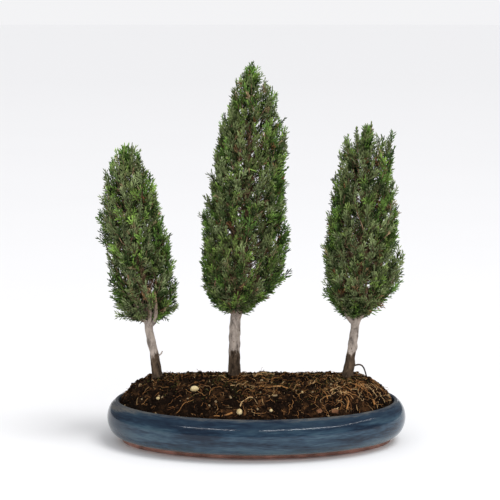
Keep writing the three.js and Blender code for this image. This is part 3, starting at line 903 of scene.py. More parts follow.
def fibre_finish():
    finish, tree, shader, place = new_finish("root_fibre", 0.75, 0.2)
    tint, _ = tint_of(tree)
    colour = add_ramp(
        tree,
        tint,
        [
            (0.0, (0.06, 0.022, 0.008)),
            (0.35, (0.19, 0.072, 0.02)),
            (0.7, (0.37, 0.175, 0.055)),
            (1.0, (0.57, 0.39, 0.19)),
        ],
    )
    tone, _ = add_mottling(tree, place, 300.0, 1500.0)
    colour = add_mix(tree, add_band(tree, tone, 0.5, 1.0), colour, (0.12, 0.06, 0.03))
    tree.links.new(colour, shader.inputs["Base Color"])
    add_relief(tree, shader, place, 800.0, 3000.0, 0.15 * MM)
    return finish


def moss_finish():
    finish, tree, shader, _ = new_finish("moss", 0.9, 0.2)
    tint, along = tint_of(tree)
    colour = add_ramp(
        tree,
        tint,
        [(0.0, (0.03, 0.035, 0.01)), (0.5, (0.08, 0.085, 0.02)), (1.0, (0.2, 0.19, 0.05))],
    )
    # Painted shade: each moss sprig darkens towards its base.
    shade = add_ramp(tree, along, [(0.0, 0.35), (1.0, 1.0)])
    tree.links.new(add_mix(tree, 1.0, colour, shade, "MULTIPLY"), shader.inputs["Base Color"])
    return finish


def heap_surface():
    """The heap's finished surface, which the other pieces are laid on."""
    bm = bmesh.new()
    bm.from_mesh(bpy.data.objects["soil_heap"].data)
    surface = BVHTree.FromBMesh(bm)
    bm.free()
    return surface


def drop_onto(surface, x, y):
    """The point of the heap's surface under a place, and its normal."""
    point, normal, _, _ = surface.ray_cast(Vector((x, y, ABOVE_ALL)), -UP)
    return point, normal


def tilted(rng, normal, spread):
    """A normal, tilted at random."""
    return (normal + Vector([rng.gauss(0, spread) for _ in range(3)])).normalized()


def heap_place(pot, rng, margin):
    """A place on the heap at random, with a margin to the inside of the rim."""
    while True:
        x = rng.uniform(-HALF_LENGTH, HALF_LENGTH)
        y = rng.uniform(-HALF_WIDTH, HALF_WIDTH)
        if math.hypot(x / HALF_LENGTH, y / HALF_WIDTH) < 1:
            if setback_of(x, y) > heap_edge(pot)[0] + margin:
                return x, y


def crumb_shapes(seed):
    def make(bm, tint):
        rng = random.Random(seed)
        made = bmesh.ops.create_icosphere(bm, subdivisions=1, radius=1.0)["verts"]
        for vert in made:
            vert.co *= rng.uniform(0.65, 1.2)
            vert.co.z *= 0.75
        paint_tint(bm, made, tint, lambda point: 0.5 + point.z / 3)

    return tinted_shapes(make)


def flake_shapes(seed):
    def make(bm, tint):
        rng = random.Random(seed)
        made = bmesh.ops.create_cube(bm, size=1.0)["verts"]
        for vert in made:
            vert.co.x *= rng.uniform(1.6, 2.6)
            vert.co.y *= rng.uniform(0.8, 1.4)
            vert.co.z *= rng.uniform(0.25, 0.5)
        paint_tint(bm, made, tint, lambda point: 0.5 + point.x / 3)

    return tinted_shapes(make)


def scatter_crumbs(pot, soil, surface):
    rng = random.Random(SEEDS["crumbs"])
    kinds = [crumb_shapes(seed) for seed in range(4)] + [flake_shapes(seed) for seed in range(3)]
    placements = []
    for _ in range(soil.crumbs):
        x, y = heap_place(pot, rng, 0.8 * MM)
        point, normal = drop_onto(surface, x, y)
        size = (0.45 + 1.7 * rng.random() ** 3) * MM
        tint = clamped(rng.random() ** 2.2 + 0.2 * noise.noise(point * 50), 0, 0.97)
        if rng.random() < BRIGHT_CRUMBS:
            tint = 1.0
        upwards = tilted(rng, normal, 0.5)
        matrix = facing(upwards, point + normal * 0.3 * size, size, rng.uniform(0, 6))
        placements.append((pick_tint(rng.choice(kinds), tint), matrix))
    add_piece("soil_crumbs", gather(placements), [crumb_finish(soil)])


def fibre_shapes(seed):
    """A thin fibre 10 mm long that lies along X and arches up a little."""

    def make(bm, tint):
        rng = random.Random(seed)
        steps = 5
        points = []
        for i in range(steps + 1):
            t = i / steps
            arch = math.sin(math.pi * t) * rng.uniform(0.4, 1.6)
            points.append(Vector((10 * t - 5, rng.uniform(-1.1, 1.1), arch)) * MM)
        tube = make_tube(points, [0.24 * MM * (1 - 0.5 * i / steps) for i in range(steps + 1)], 3)
        mesh = keep_mesh("fibre", tube)
        bm.from_mesh(mesh)
        bpy.data.meshes.remove(mesh)
        paint_tint(bm, bm.verts, tint, lambda point: 0.5 + point.x / (10 * MM))

    return tinted_shapes(make)


def root_density(x):
    """Where the bare roots lie thickest: the right-hand end, and level with the middle trunk."""
    right = clamped((x - 20 * MM) / (60 * MM))
    middle = math.exp(-((x / (20 * MM)) ** 2))
    return 0.25 + 0.75 * max(right, 0.8 * middle)


def scatter_fibres(pot, soil, surface):
    rng = random.Random(SEEDS["fibres"])
    kinds = [fibre_shapes(seed) for seed in range(10)]
    placements = []
    while len(placements) < soil.fibres:
        x, y = heap_place(pot, rng, 3 * MM)
        if rng.random() > root_density(x):
            continue
        point, normal = drop_onto(surface, x, y)
        upwards = tilted(rng, normal, 0.25)
        scale = rng.uniform(0.35, 1.25)
        matrix = facing(upwards, point + normal * 0.3 * MM, scale, rng.uniform(0, 6.3))
        tint = clamped(rng.gauss(0.5, 0.25) + 0.12 * root_density(x))
        placements.append((pick_tint(rng.choice(kinds), tint), matrix))
    add_piece("root_fibres", gather(placements), [fibre_finish()])


def along_the_heap(point):
    """A root's place along the heap, which its tint map holds."""
    return point.x * 4 + 0.5


def wandering_root(surface, pot, rng, start, heading, length, lift):
    """Points of a root that wanders over the heap and arches off it here and there."""
    points = []
    x, y = start
    steps = max(int(length / (2.6 * MM)), 4)
    phase = rng.uniform(0, 6)
    for i in range(steps + 1):
        if setback_of(x, y) < heap_edge(pot)[0] + 1.5 * MM:
            break
        point, _ = drop_onto(surface, x, y)
        rise = lift * (0.5 + 0.5 * math.sin(phase + 2.6 * i / steps * math.pi))
        if i in (0, steps):
            rise = -0.3 * MM
        points.append(point + UP * (0.4 * MM + rise))
        heading += rng.gauss(0, 0.32)
        x += math.cos(heading) * length / steps
        y += math.sin(heading) * length / steps
    return points


def scatter_roots(pot, soil, surface):
    rng = random.Random(SEEDS["roots"])
    tubes = []
    while len(tubes) < soil.roots:
        x, y = heap_place(pot, rng, 5 * MM)
        if rng.random() > root_density(x) ** 2:
            continue
        length = rng.uniform(9, 26) * MM
        lift = rng.uniform(0.2, 2.2) * MM
        points = wandering_root(surface, pot, rng, (x, y), rng.uniform(0, 6.3), length, lift)
        if len(points) < 4:
            continue
        line = smooth_line(points, 2)
        thick = rng.uniform(0.3, 0.62) * MM
        tube = make_tube(line, tapered(thick, len(line), 0.55), 5)
        tint = clamped(rng.gauss(0.72, 0.2), 0.1)
        paint_tint(tube, tube.verts, tint, along_the_heap)
        tubes.append(tube)
    add_piece("bare_roots", merge(tubes), [fibre_finish()], sharp_over=math.radians(60))


def sprig_shapes(seed):
    def make(bm, tint):
        rng = random.Random(seed)
        for _ in range(3):
            forward = Matrix.Rotation(rng.uniform(-0.7, 0.7), 4, "X")
            lean = forward @ Matrix.Rotation(rng.uniform(-0.7, 0.7), 4, "Y")
            spot = lean @ Matrix.Translation((0, 0, 0.5))
            made = bmesh.ops.create_cone(
                bm, cap_ends=True, segments=3, radius1=0.22, radius2=0.0, depth=1.0, matrix=spot
            )["verts"]
            paint_tint(bm, made, tint, lambda point: point.z)

    return tinted_shapes(make)


def scatter_moss(pot, soil, surface):
    rng = random.Random(SEEDS["moss"])
    kinds = [sprig_shapes(seed) for seed in range(4)]
    placements = []
    while len(placements) < soil.moss:
        x, y = heap_place(pot, rng, 6 * MM)
        point, normal = drop_onto(surface, x, y)
        crest = clamped((setback_of(x, y) - 22 * MM) / (25 * MM))
        patch = noise.noise(Vector((x, y, 0)) * 38) + 0.15
        if rng.random() > crest * clamped(patch * 3, 0.03):
            continue
        upwards = tilted(rng, normal, 0.3)
        matrix = facing(upwards, point, rng.uniform(0.8, 2.0) * MM, rng.uniform(0, 6))
        placements.append((pick_tint(rng.choice(kinds), rng.random()), matrix))
    add_piece("moss", gather(placements), [moss_finish()])


# ---------------------------------------------------------------- pebbles, chips and roots


def build_pebbles():
    stops = [(0.0, (0.3, 0.2, 0.09)), (0.5, (0.55, 0.42, 0.2)), (1.0, (0.72, 0.6, 0.36))]
    relief = (300.0, 1800.0, 0.3 * MM, 0.3)
    finish = mottled_finish("pebble_stone", (0.6, 0.4), (220.0, 1400.0, 0.6), stops, relief)
    for node in nodes_named("pebble_"):
        low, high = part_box(node)
        middle, half = (low + high) / 2, (high - low) / 2
        bm = bmesh.new()
        size = Matrix.Translation(middle) @ Matrix.Diagonal((*half, 1.0))
        bmesh.ops.create_icosphere(bm, subdivisions=4, radius=1.0, matrix=size)
        for vert in bm.verts:
            lump = noise.noise(vert.co * 220) * 0.16 + noise.noise(vert.co * 700) * 0.04
            vert.co = middle + (vert.co - middle) * (1 + lump)
        add_piece(f"stone_{node}", bm, [finish], [node], math.radians(60))


def build_chips():
    stops = [(0.0, (0.05, 0.02, 0.01)), (0.6, (0.16, 0.07, 0.03)), (1.0, (0.3, 0.15, 0.07))]
    relief, grain = (500.0, 2000.0, 0.5 * MM), (0.25, 1.0, 1.0)
    finish = mottled_finish("chip_bark", (0.85, 0.25), (250.0, 1500.0, 0.7), stops, relief, grain)
    for node in nodes_named("bark_chip_"):
        bm = bmesh.new()
        bm.from_mesh(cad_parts[node].data)
        bmesh.ops.remove_doubles(bm, verts=bm.verts, dist=0.01 * MM)
        bmesh.ops.dissolve_limit(bm, angle_limit=math.radians(2), verts=bm.verts, edges=bm.edges)
        bmesh.ops.subdivide_edges(bm, edges=bm.edges, cuts=5, use_grid_fill=True)
        bmesh.ops.triangulate(bm, faces=bm.faces)
        for vert in bm.verts:
            vert.co += noise.noise_vector(vert.co * 300) * 0.35 * MM
        point_outwards(bm)
        add_piece(f"flake_{node}", bm, [finish], [node], math.radians(35))


def spine_of(node, bins=8):
    """The middle line of a long thin node, from one end to the other."""
    points = [v.co.copy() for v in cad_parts[node].data.vertices]
    first = max(points, key=lambda p: (p - points[0]).length)
    last = max(points, key=lambda p: (p - first).length)
    along = (last - first).normalized()
    reach = (last - first).length
    groups = [[] for _ in range(bins)]
    for point in points:
        share = (point - first).dot(along) / reach
        groups[min(int(share * bins), bins - 1)].append(point)
    middles = [sum(g, Vector()) / len(g) for g in groups if g]
    return [first, *middles[1:-1], last]


def build_surface_roots():
    finish = fibre_finish()
    rng = random.Random(SEEDS["surface_roots"])
    for node in nodes_named("surface_root_"):
        line = smooth_line(spine_of(node), 3)
        count = len(line)
        for i, point in enumerate(line):
            point += noise.noise_vector(point * 90) * 0.5 * MM
        radii = [(1.0 - 0.45 * i / count) * MM * rng.uniform(0.85, 1.1) for i in range(count)]
        tube = make_tube(line, radii, 8)
        tint = rng.uniform(0.55, 0.85)
        paint_tint(tube, tube.verts, tint, along_the_heap)
        add_piece(f"rough_{node}", tube, [finish], [node], math.radians(60))


# ---------------------------------------------------------------- trunks and limbs

SLICE = 5 * MM  # between the heights at which a trunk is measured
LIMB_SIDES = 7
FORK_LIMBS = 11  # thin limbs that leave each fork

# The short stems on the trunks, as the frame has them: the height above the soil at which
# each leaves its trunk, then its bend and its end as steps from there, and its radius.
SNAGS = {
    "left_tree": [(21 * MM, Vector((6, -1.5, 2.5)) * MM, Vector((8.2, -2, 6)) * MM, 0.9 * MM)],
    "centre_tree": [],
    "right_tree": [(11 * MM, Vector((13, -4, 2)) * MM, Vector((19.5, -6, -16)) * MM, 1 * MM)],
}


def boughs_of(tree):
    return nodes_named(tree, "_bough")


def slice_points(bm, height):
    """Where a level plane cuts a mesh's edges."""
    points = []
    for edge in bm.edges:
        a, b = (v.co for v in edge.verts)
        if (a.z - height) * (b.z - height) < 0:
            points.append(a.lerp(b, (height - a.z) / (b.z - a.z)))
    return points


def trunk_line(tree):
    """The middle of a CAD trunk and its radius, at a level every few millimetres."""
    node = f"{tree}_wood"
    low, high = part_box(node)
    bm = bmesh.new()
    bm.from_mesh(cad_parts[node].data)
    bmesh.ops.remove_doubles(bm, verts=bm.verts, dist=0.01 * MM)
    line, radii = [], []
    height = low.z + 0.5 * MM
    while height < high.z:
        points = slice_points(bm, height)
        if line:
            last, reach = line[-1], radii[-1]
            points = [p for p in points if (p - last).xy.length < 1.25 * reach + 0.6 * MM]
        if len(points) < 3:
            break
        left, right = min(p.x for p in points), max(p.x for p in points)
        front, back = min(p.y for p in points), max(p.y for p in points)
        line.append(Vector(((left + right) / 2, (front + back) / 2, height)))
        radius = (right - left + back - front) / 4
        radii.append(min(radius, radii[-1] * 1.03) if radii else radius)
        height += SLICE
    bm.free()
    return line, radii


def at_height(line, height):
    """The point of a rising line at a height."""
    for low, high in zip(line, line[1:]):
        if high.z >= height:
            return low.lerp(high, (height - low.z) / (high.z - low.z))
    return line[-1].copy()


def bark_relief(wood, ground):
    """Furrows that run up the trunk, with knots on it and a flare at the soil."""

    def relief(point, angle):
        turned = Vector((math.cos(angle), math.sin(angle), 0))
        furrow = abs(noise.noise(turned * 2.2 + Vector((point.x * 30, 0, point.z * 60))))
        plates = noise.noise(turned * 1.2 + Vector((0, point.x * 20, point.z * 140)))
        knots = max(noise.noise(turned * 1.1 + Vector((3, point.x * 50, point.z * 75))) - 0.3, 0)
        flare = math.exp(-max(point.z - ground, 0) / (5 * MM))
        buttress = 0.5 + 0.5 * math.cos(angle * 3 + point.x * 100)
        height = wood.furrows * (1.1 * furrow + 0.8 * plates - 0.4 + 5 * knots)
        return height + flare * (0.4 + 1.1 * buttress) * MM

    return relief


def limb_tube(line, start_height, end, rng, thick):
    """A limb from the leader, up and out to a point in a bough."""
    start = at_height(line, start_height)
    span = end - start
    knee = start + Vector((span.x * 0.42, span.y * 0.42, span.z * 0.25))
    knee += Vector([rng.gauss(0, 0.8) for _ in range(3)]) * MM
    points = smooth_line([start, knee, start.lerp(end, 0.72) + UP * MM, end], 4)
    return make_tube(points, tapered(thick, len(points), 0.65), LIMB_SIDES)


def fork_limbs(tree, line, rng):
    """The thin limbs that leave the fork close together and rise into the crown."""
    fork = min(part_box(bough)[0].z for bough in boughs_of(tree))
    limbs = []
    for i in range(FORK_LIMBS):
        turn = i * GOLDEN_ANGLE + rng.uniform(-0.3, 0.3)
        start = at_height(line, fork + rng.uniform(-3, 9) * MM)
        reach, rise = rng.uniform(12, 25) * MM, rng.uniform(32, 66) * MM
        out = Vector((math.cos(turn), math.sin(turn), 0)) * reach
        end = at_height(line, start.z + rise) + out
        stray = Vector([rng.gauss(0, 1.2) for _ in range(3)]) * MM
        knee = start + out * 0.55 + UP * rise * 0.3 + stray
        points = smooth_line([start, knee, end.lerp(knee, 0.4) + out * 0.08, end], 4)
        thick = rng.uniform(1.7, 3.0) * MM
        limbs.append(make_tube(points, tapered(thick, len(points), 0.7), LIMB_SIDES))
    return limbs


def build_wood(wood):
    finish, surface = bark_finish(wood), heap_surface()
    for tree in TREES:
        rng = random.Random(len(tree) + SEEDS["wood"])
        line, radii = trunk_line(tree)
        ground = drop_onto(surface, line[3].x, line[3].y)[0].z
        fine = smooth_line(line, 4)
        steps = []
        for a, b in zip(radii, radii[1:]):
            steps += [a, (3 * a + b) / 4, (a + b) / 2, (a + 3 * b) / 4]
        steps.append(radii[-1] * 0.6)
        parts = [make_tube(fine, steps, wood.sides, bark_relief(wood, ground))]
        for bough in boughs_of(tree):
            if bough.endswith("top_bough"):
                continue
            low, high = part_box(bough)
            end = (low + high) / 2
            away = (end - at_height(line, end.z)).xy.length
            parts.append(limb_tube(line, end.z - 1.1 * away, end, rng, 2.1 * MM))
        parts += fork_limbs(tree, line, rng)
        for height, bend, reach, radius in SNAGS[tree]:
            start = at_height(line, ground + height)
            points = smooth_line([start, start + bend, start + reach], 6)
            parts.append(make_tube(points, tapered(radius, len(points), 0.4), LIMB_SIDES))
        add_piece(f"{tree}_trunk", merge(parts), [finish], [f"{tree}_wood"], math.radians(70))


def bark_finish(wood):
    finish, tree, shader, place = new_finish("conifer_bark", 0.88, 0.2)
    grain = stretched(tree, place, (1.0, 1.0, 0.45))
    tone, _ = add_mottling(tree, grain, 210.0, 900.0, 0.9)
    spots, _ = add_mottling(tree, place, 330.0, 1300.0, 0.6)
    old = add_ramp(tree, tone, shades_of(wood.dark_bark, [(0.0, 0.3), (1.0, 2.4)]))
    stops = [(0.0, 0.3), (0.3, 0.62), (0.65, 0.9), (1.0, 1.05)]
    bare = add_ramp(tree, tone, shades_of(wood.pale_bark, stops))
    bare = add_mix(tree, add_band(tree, spots, 0.8, 1.0), bare, wood.dark_bark)
    ragged = add_math(tree, "MULTIPLY", tone, 12 * MM)
    height = add_math(tree, "ADD", height_of(tree, place), ragged)
    up = add_band(tree, height, 92 * MM, 98 * MM)
    colour = add_mix(tree, up, old, bare)
    inner = add_band(tree, height, 128 * MM, 156 * MM)
    colour = add_mix(tree, inner, colour, wood.twig_bark)
    tree.links.new(colour, shader.inputs["Base Color"])
    add_relief(tree, shader, grain, 400.0, 1500.0, 0.7 * MM, pits=0.5)
    return finish


# ---------------------------------------------------------------- foliage


def crown_target(tree):
    """A crown's boughs as one ray target, with the bough that each face belongs to."""
    points, faces, owners = [], [], []
    for bough in boughs_of(tree):
        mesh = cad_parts[bough].data
        start = len(points)
        points += [v.co.copy() for v in mesh.vertices]
        for face in mesh.polygons:
            faces.append([start + i for i in face.vertices])
            owners.append(bough)
    return BVHTree.FromPolygons(points, faces), owners


def crown_axis(tree):
    """The two ends of a crown's straight axis."""
    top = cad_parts[f"{tree}_top_bough"].data.vertices
    tip = max((v.co for v in top), key=lambda p: p.z).copy()
    low = min(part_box(bough)[0].z for bough in boughs_of(tree))
    line, _ = trunk_line(tree)
    return at_height(line, low + 1 * MM), tip


class Crown:
    """A crown's outline as the frame has it, measured with rays from outside."""

    def __init__(self, tree):
        self.target, self.owners = crown_target(tree)
        self.low, self.tip = crown_axis(tree)
        self.axis = (self.tip - self.low).normalized()
        self.height = (self.tip - self.low).length
        self.side = self.axis.orthogonal().normalized()
        self.back = self.axis.cross(self.side)

    def outwards(self, angle):
        return self.side * math.cos(angle) + self.back * math.sin(angle)

    def surface(self, share, angle):
        """The outer point at a share of the height and an angle, its radius and its bough."""
        middle = self.low + self.axis * (share * self.height)
        away = self.outwards(angle)
        point, _, face, _ = self.target.ray_cast(middle + away * 0.1, -away)
        if point is None:
            return middle, 0.0, None
        return point, (point - middle).dot(away), self.owners[face]

    def radius(self, share):
        return sum(self.surface(share, k * math.pi / 4)[1] for k in range(8)) / 8


def spread_shares(crown, spacing):
    """Shares of the height for plumes spread evenly over the crown's surface."""
    steps = 60
    radii = [crown.radius((i + 0.5) / steps) for i in range(steps)]
    area = FULL_TURN * sum(radii) * crown.height / steps
    count = round(area / spacing**2)
    shares = []
    reached = 0.0
    for i, radius in enumerate(radii):
        part = count * radius / sum(radii)
        while len(shares) < reached + part - 1e-9 and len(shares) < count:
            shares.append((i + (len(shares) - reached) / part) / steps)
        reached += part
    return shares


def add_shoot(bm, base, direction, length, width, tint, rings=2, painted_shades=(0.0, 1.0)):
    """One scaly shoot: a slim closed spindle, which carries painted shade from a darker base to a
    lighter tip.
    """
    start, stop = painted_shades
    made = bmesh.ops.create_uvsphere(bm, u_segments=3, v_segments=rings, radius=1.0)["verts"]
    for vert in made:
        vert.co.z += 0.25 * (1 - vert.co.z**2)
    stand = direction.to_track_quat("Z", "Y").to_matrix().to_4x4()
    place = Matrix.Translation(base + direction * length / 2)
    size = Matrix.Diagonal((width / 2, width / 2, length / 2, 1.0))
    bmesh.ops.transform(bm, matrix=place @ stand @ size, verts=made)

    def painted_shade_at(point):
        return start + (stop - start) * (point - base).dot(direction) / length

    paint_tint(bm, made, tint, painted_shade_at)


def spray_shapes(seed, foliage):
    """A flat spray: a main shoot up +Z with side shoots to its left and right."""
    length, width = foliage.spray_length, foliage.shoot_width

    def make(bm, tint):
        rng = random.Random(seed)
        add_shoot(bm, Vector(), UP, length, width, tint, rings=3)
        for i in range(SIDE_SHOOTS):
            side = 1 if i % 2 else -1
            along = (0.06 + 0.74 * i / SIDE_SHOOTS + rng.uniform(-0.05, 0.05)) * length
            lean = math.radians(rng.uniform(28, 46))
            off = rng.uniform(-0.3, 0.3)
            direction = Vector((side * math.sin(lean), off, math.cos(lean))).normalized()
            reach = length * rng.uniform(0.46, 0.72) * (1 - 0.5 * along / length)
            # Each side shoot gets its own span of painted shade, so some are darker all along.
            painted_shades = (rng.uniform(0.1, 0.3), rng.uniform(0.5, 1.0))
            add_shoot(bm, Vector((0, 0, along)), direction, reach, width * 0.92, tint, painted_shades=painted_shades)

    return tinted_shapes(make)


def plume_tint(rng, point, away):
    """The colour family of a plume: fresh towards the sides, olive and grey between them."""
    patch = noise.noise(point * 42) + 0.4 * noise.noise(point * 100)
    fresh = 0.6 * away.x**2 + 1.05 * patch + 0.1 * away.x
    if rng.random() < fresh:
        return clamped(rng.gauss(0.33, 0.08), 0.15, 0.48)
    return clamped(rng.gauss(0.61, 0.1), 0.49, 0.79)


def spray_tint(rng, tint, along):
    """A spray's own tint: its plume's, but for the deep green ones, which are painted shade low in
    the plume, and a few dry ones.
    """
    dice = rng.random()
    # Painted shade: one spray in ten is deep green, and many more low in the plume, inside the
    # crown.
    if dice < 0.1 + 1.3 * max(0.6 - along, 0):
        return rng.uniform(0.0, 0.1)
    if dice > 0.97 and along < 0.75:
        return rng.uniform(0.82, 0.9)
    if dice > 0.92 and along < 0.75:
        return rng.uniform(0.9, 1.0)
    return clamped(tint + rng.gauss(0, 0.045), 0.0, 0.8)


def plume_sprays(foliage, rng, kinds, base, end, away, tint, first=0.1):
    """The placed sprays of one plume, which fan out from its line."""
    line = end - base
    heading = line.normalized()
    side = heading.cross(away).normalized()
    out = side.cross(heading)
    placements = []
    for j in range(foliage.sprays):
        along = first + (1 - first) * (j + rng.random()) / foliage.sprays
        around = j * GOLDEN_ANGLE + rng.uniform(-0.5, 0.5)
        fan = math.radians(43 - 34 * along + rng.gauss(0, 9))
        across = side * math.cos(around) + out * math.sin(around)
        direction = (heading * math.cos(fan) + across * math.sin(fan)).normalized()
        scale = rng.uniform(0.65, 1.1)
        start = base + line * along
        matrix = facing(direction, start, scale, rng.uniform(0, 6.3))
        placements.append((pick_tint(rng.choice(kinds), spray_tint(rng, tint, along)), matrix))
    return placements


TWIG_RADIUS = 0.02  # of a twig 1 m long, before it is scaled to its place
SIDE_SHOOTS = 5  # on each spray
TIP_PLUMES = 7  # upright plumes that close the top of each crown
BARE_FRONT = 0.6  # share of the plumes that a thin front goes without


def twig_shape():
    """A twig 1 m long up +Z, which wanders a little and tapers."""
    spots = (0, 0.25, 0.5, 0.75, 1)
    line = [Vector((0.015 * math.sin(3 * t), 0.012 * math.sin(5 * t), t)) for t in spots]
    radii = [TWIG_RADIUS * (1 - 0.5 * t) for t in spots]
    return keep_mesh("twig", make_tube(line, radii, 3))


def twig_matrix(start, end, radius):
    line = end - start
    across = radius / TWIG_RADIUS
    size = Matrix.Diagonal((across, across, line.length, 1.0))
    return facing(line.normalized(), start) @ size


# Where a crown swells past its even outline or falls short of it: the share of its height,
# the side (-1 is left), by how many millimetres and over what share of the height.
SWELLS = {
    "left_tree": [
        (0.63, -1, 11, 0.04),
        (0.8, -1, 3, 0.06),
        (0.35, -1, -3, 0.06),
        (0.06, 1, -5, 0.05),
    ],
    "centre_tree": [
        (0.74, 1, 9, 0.09),
        (0.9, 1, 4, 0.06),
        (0.5, -1, -3, 0.06),
        (0.05, 1, -6, 0.04),
    ],
    "right_tree": [
        (0.93, 1, 8, 0.06),
        (0.93, -1, 4, 0.06),
        (0.22, -1, -4, 0.08),
        (0.06, 1, -6, 0.05),
    ],
}
# The share of each crown's height up to which its front is thin, and shows its limbs.
THIN_FRONT = {"left_tree": 0.36, "centre_tree": 0.1, "right_tree": 0.12}
# How far out a crown spreads from its fork for each millimetre that it rises.
FORK_SPREAD = {"left_tree": 2.9, "centre_tree": 1.25, "right_tree": 1.3}


def swell(tree, share, away):
    """How far a crown swells outwards at a share of its height and a heading."""
    total = 0.0
    for place, side, amount, reach in SWELLS[tree]:
        total += amount * MM * max(side * away.x, 0) * math.exp(-(((share - place) / reach) ** 2))
    return total


def plume_lean(share):
    """How far a plume leans out from the crown's axis at a share of its height."""
    low = math.radians(14) * math.exp(-share / 0.06)
    return low + math.radians(42) * (1 - share) + math.radians(14) * share


def pulled_in(fork, spot, spread):
    """A spot in the crown, no further out from the fork than the crown spreads as it rises."""
    span = spot - fork
    level = Vector((span.x, span.y, 0))
    room = spread * max(span.z, 0)
    if level.length > room:
        level *= room / level.length
    return fork + level + UP * span.z


def build_crown(foliage, tree, kinds, twig, finish, twig_finish):
    rng = random.Random(sum(map(ord, tree)))
    crown = Crown(tree)
    line, _ = trunk_line(tree)
    sprays = {bough: [] for bough in boughs_of(tree)}
    twigs = []
    for i, share in enumerate(spread_shares(crown, foliage.plume_spacing)):
        angle = i * GOLDEN_ANGLE + rng.uniform(-0.15, 0.15)
        share = clamped(share, 0.07, 0.985)
        point, radius, bough = crown.surface(share, angle)
        away = crown.outwards(angle)
        thin = share < THIN_FRONT[tree] and away.y < -0.55
        if bough is None or (thin and rng.random() < BARE_FRONT):
            continue
        lump = noise.noise(point * 55) * 3.0 * MM + rng.uniform(-4.0, 1.5) * MM
        lump += swell(tree, share, away)
        lean = plume_lean(share) + rng.gauss(0, 0.16)
        heading = (crown.axis * math.cos(lean) + away * math.sin(lean)).normalized()
        heading = (heading + crown.axis.cross(away) * rng.gauss(0, 0.2)).normalized()
        end = point + away * lump - heading * foliage.spray_length * 0.7
        reach = 0.85 * radius / max(math.sin(lean), 0.2)
        length = min(foliage.plume_length * rng.uniform(0.8, 1.25), reach)
        base = end - heading * length
        fork = at_height(line, crown.low.z + rng.uniform(0, 8) * MM)
        first = 0.1
        if base.z < fork.z:
            base, first = fork, 0.35
        base, end = (pulled_in(fork, spot, FORK_SPREAD[tree]) for spot in (base, end))
        if end.z < base.z + 4 * MM:
            continue
        tint = plume_tint(rng, point, away)
        sprays[bough] += plume_sprays(foliage, rng, kinds, base, end, away, tint, first)
        stem = at_height(line, clamped(base.z - 0.7 * length, crown.low.z, base.z))
        twigs.append((twig, twig_matrix(stem, base, rng.uniform(0.45, 0.8) * MM)))
        twigs.append((twig, twig_matrix(base, end, 0.45 * MM)))
    top = f"{tree}_top_bough"
    for k in range(TIP_PLUMES):
        lift = Vector((rng.gauss(0, 2.2), rng.gauss(0, 2.2), 0)) * MM
        end = crown.tip + lift - crown.axis * (12 + 1.8 * k) * MM
        base = end - crown.axis * foliage.plume_length * 0.6
        sprays[top] += plume_sprays(foliage, rng, kinds, base, end, crown.side, 0.36)
    for bough, placements in sprays.items():
        add_piece(f"foliage_{bough}", gather(placements), [finish], [bough])
    add_piece(f"{tree}_twigs", gather(twigs), [twig_finish])


def build_foliage(foliage, wood):
    kinds = [spray_shapes(seed, foliage) for seed in range(8)]
    twig = twig_shape()
    finish, twig_finish = shoot_finish(foliage), twig_bark_finish(wood)
    for tree in TREES:
        build_crown(foliage, tree, kinds, twig, finish, twig_finish)


def shoot_finish(foliage):
    finish, tree, shader, place = new_finish("scale_leaves", 0.6, 0.16)
    tint, along = tint_of(tree)
    colour = add_ramp(
        tree,
        tint,
        [
            (0.0, foliage.old_and_shade_green),
            (0.18, foliage.mid),
            (0.34, foliage.fresh),
            (0.46, foliage.bright),
            (0.54, foliage.olive),
            (0.7, foliage.grey),
            # Partly painted highlight: the palest grey step.
            (0.8, [c * 1.3 for c in foliage.grey]),
            (0.86, foliage.tan),
            (0.94, foliage.dead),
            (1.0, [c * 0.35 for c in foliage.dead]),
        ],
    )
    # Painted shade and light: each shoot is dark at its base and brighter than its colour at its
    # tip, and a mottled brightness varies this from place to place.
    shade = add_range(tree, along, 0.03, 2.05)
    tone, _ = add_mottling(tree, place, 80.0, 520.0, 1.6)
    shade = add_math(tree, "MULTIPLY", shade, add_range(tree, tone, 0.35, 1.5))
    colour = add_mix(tree, 1.0, colour, shade, "MULTIPLY")
    tree.links.new(colour, shader.inputs["Base Color"])
    add_relief(tree, shader, place, 900.0, 2500.0, 0.3 * MM, strength=0.6)
    return finish


def twig_bark_finish(wood):
    stops = shades_of(wood.twig_bark, [(0.0, 0.35), (0.6, 1.0), (1.0, 1.7)])
    return mottled_finish("twig_bark", (0.8, 0.3), (120.0, 1200.0, 0.6), stops)


# ---------------------------------------------------------------- stage


SKY_SEEN = 0.915  # the world's strength where the camera sees it
SKY_MIRRORED = 0.22  # and where a glossy surface mirrors it
# Painted shade: the floor's colour darkens away from the grove to this share of itself.
FLOOR_FAR_SHADE = 0.915  # what is left of the floor's brightness far behind the grove
# Each narrow light's azimuth, length and power.
STRIPS = {
    "strip_left": (-30, 1.3, 5.0),
    "strip_right": (28, 1.9, 9.0),
    "strip_side": (74, 1.4, 3.0),
}


def place_in_scene(name, data, location=(0, 0, 0), heading=None):
    """A new object, with its -Z along a heading."""
    made = bpy.data.objects.new(name, data)
    bpy.context.scene.collection.objects.link(made)
    made.location = location
    if heading is not None:
        made.rotation_mode = "QUATERNION"
        made.rotation_quaternion = heading.to_track_quat("-Z", "Y")
    return made


def around_grove(azimuth, elevation, distance):
    """A point seen from the grove at an azimuth right of the camera and an elevation."""
    turn, rise = math.radians(azimuth), math.radians(elevation)
    level = distance * math.cos(rise)
    return Vector((level * math.sin(turn), -level * math.cos(turn), distance * math.sin(rise)))


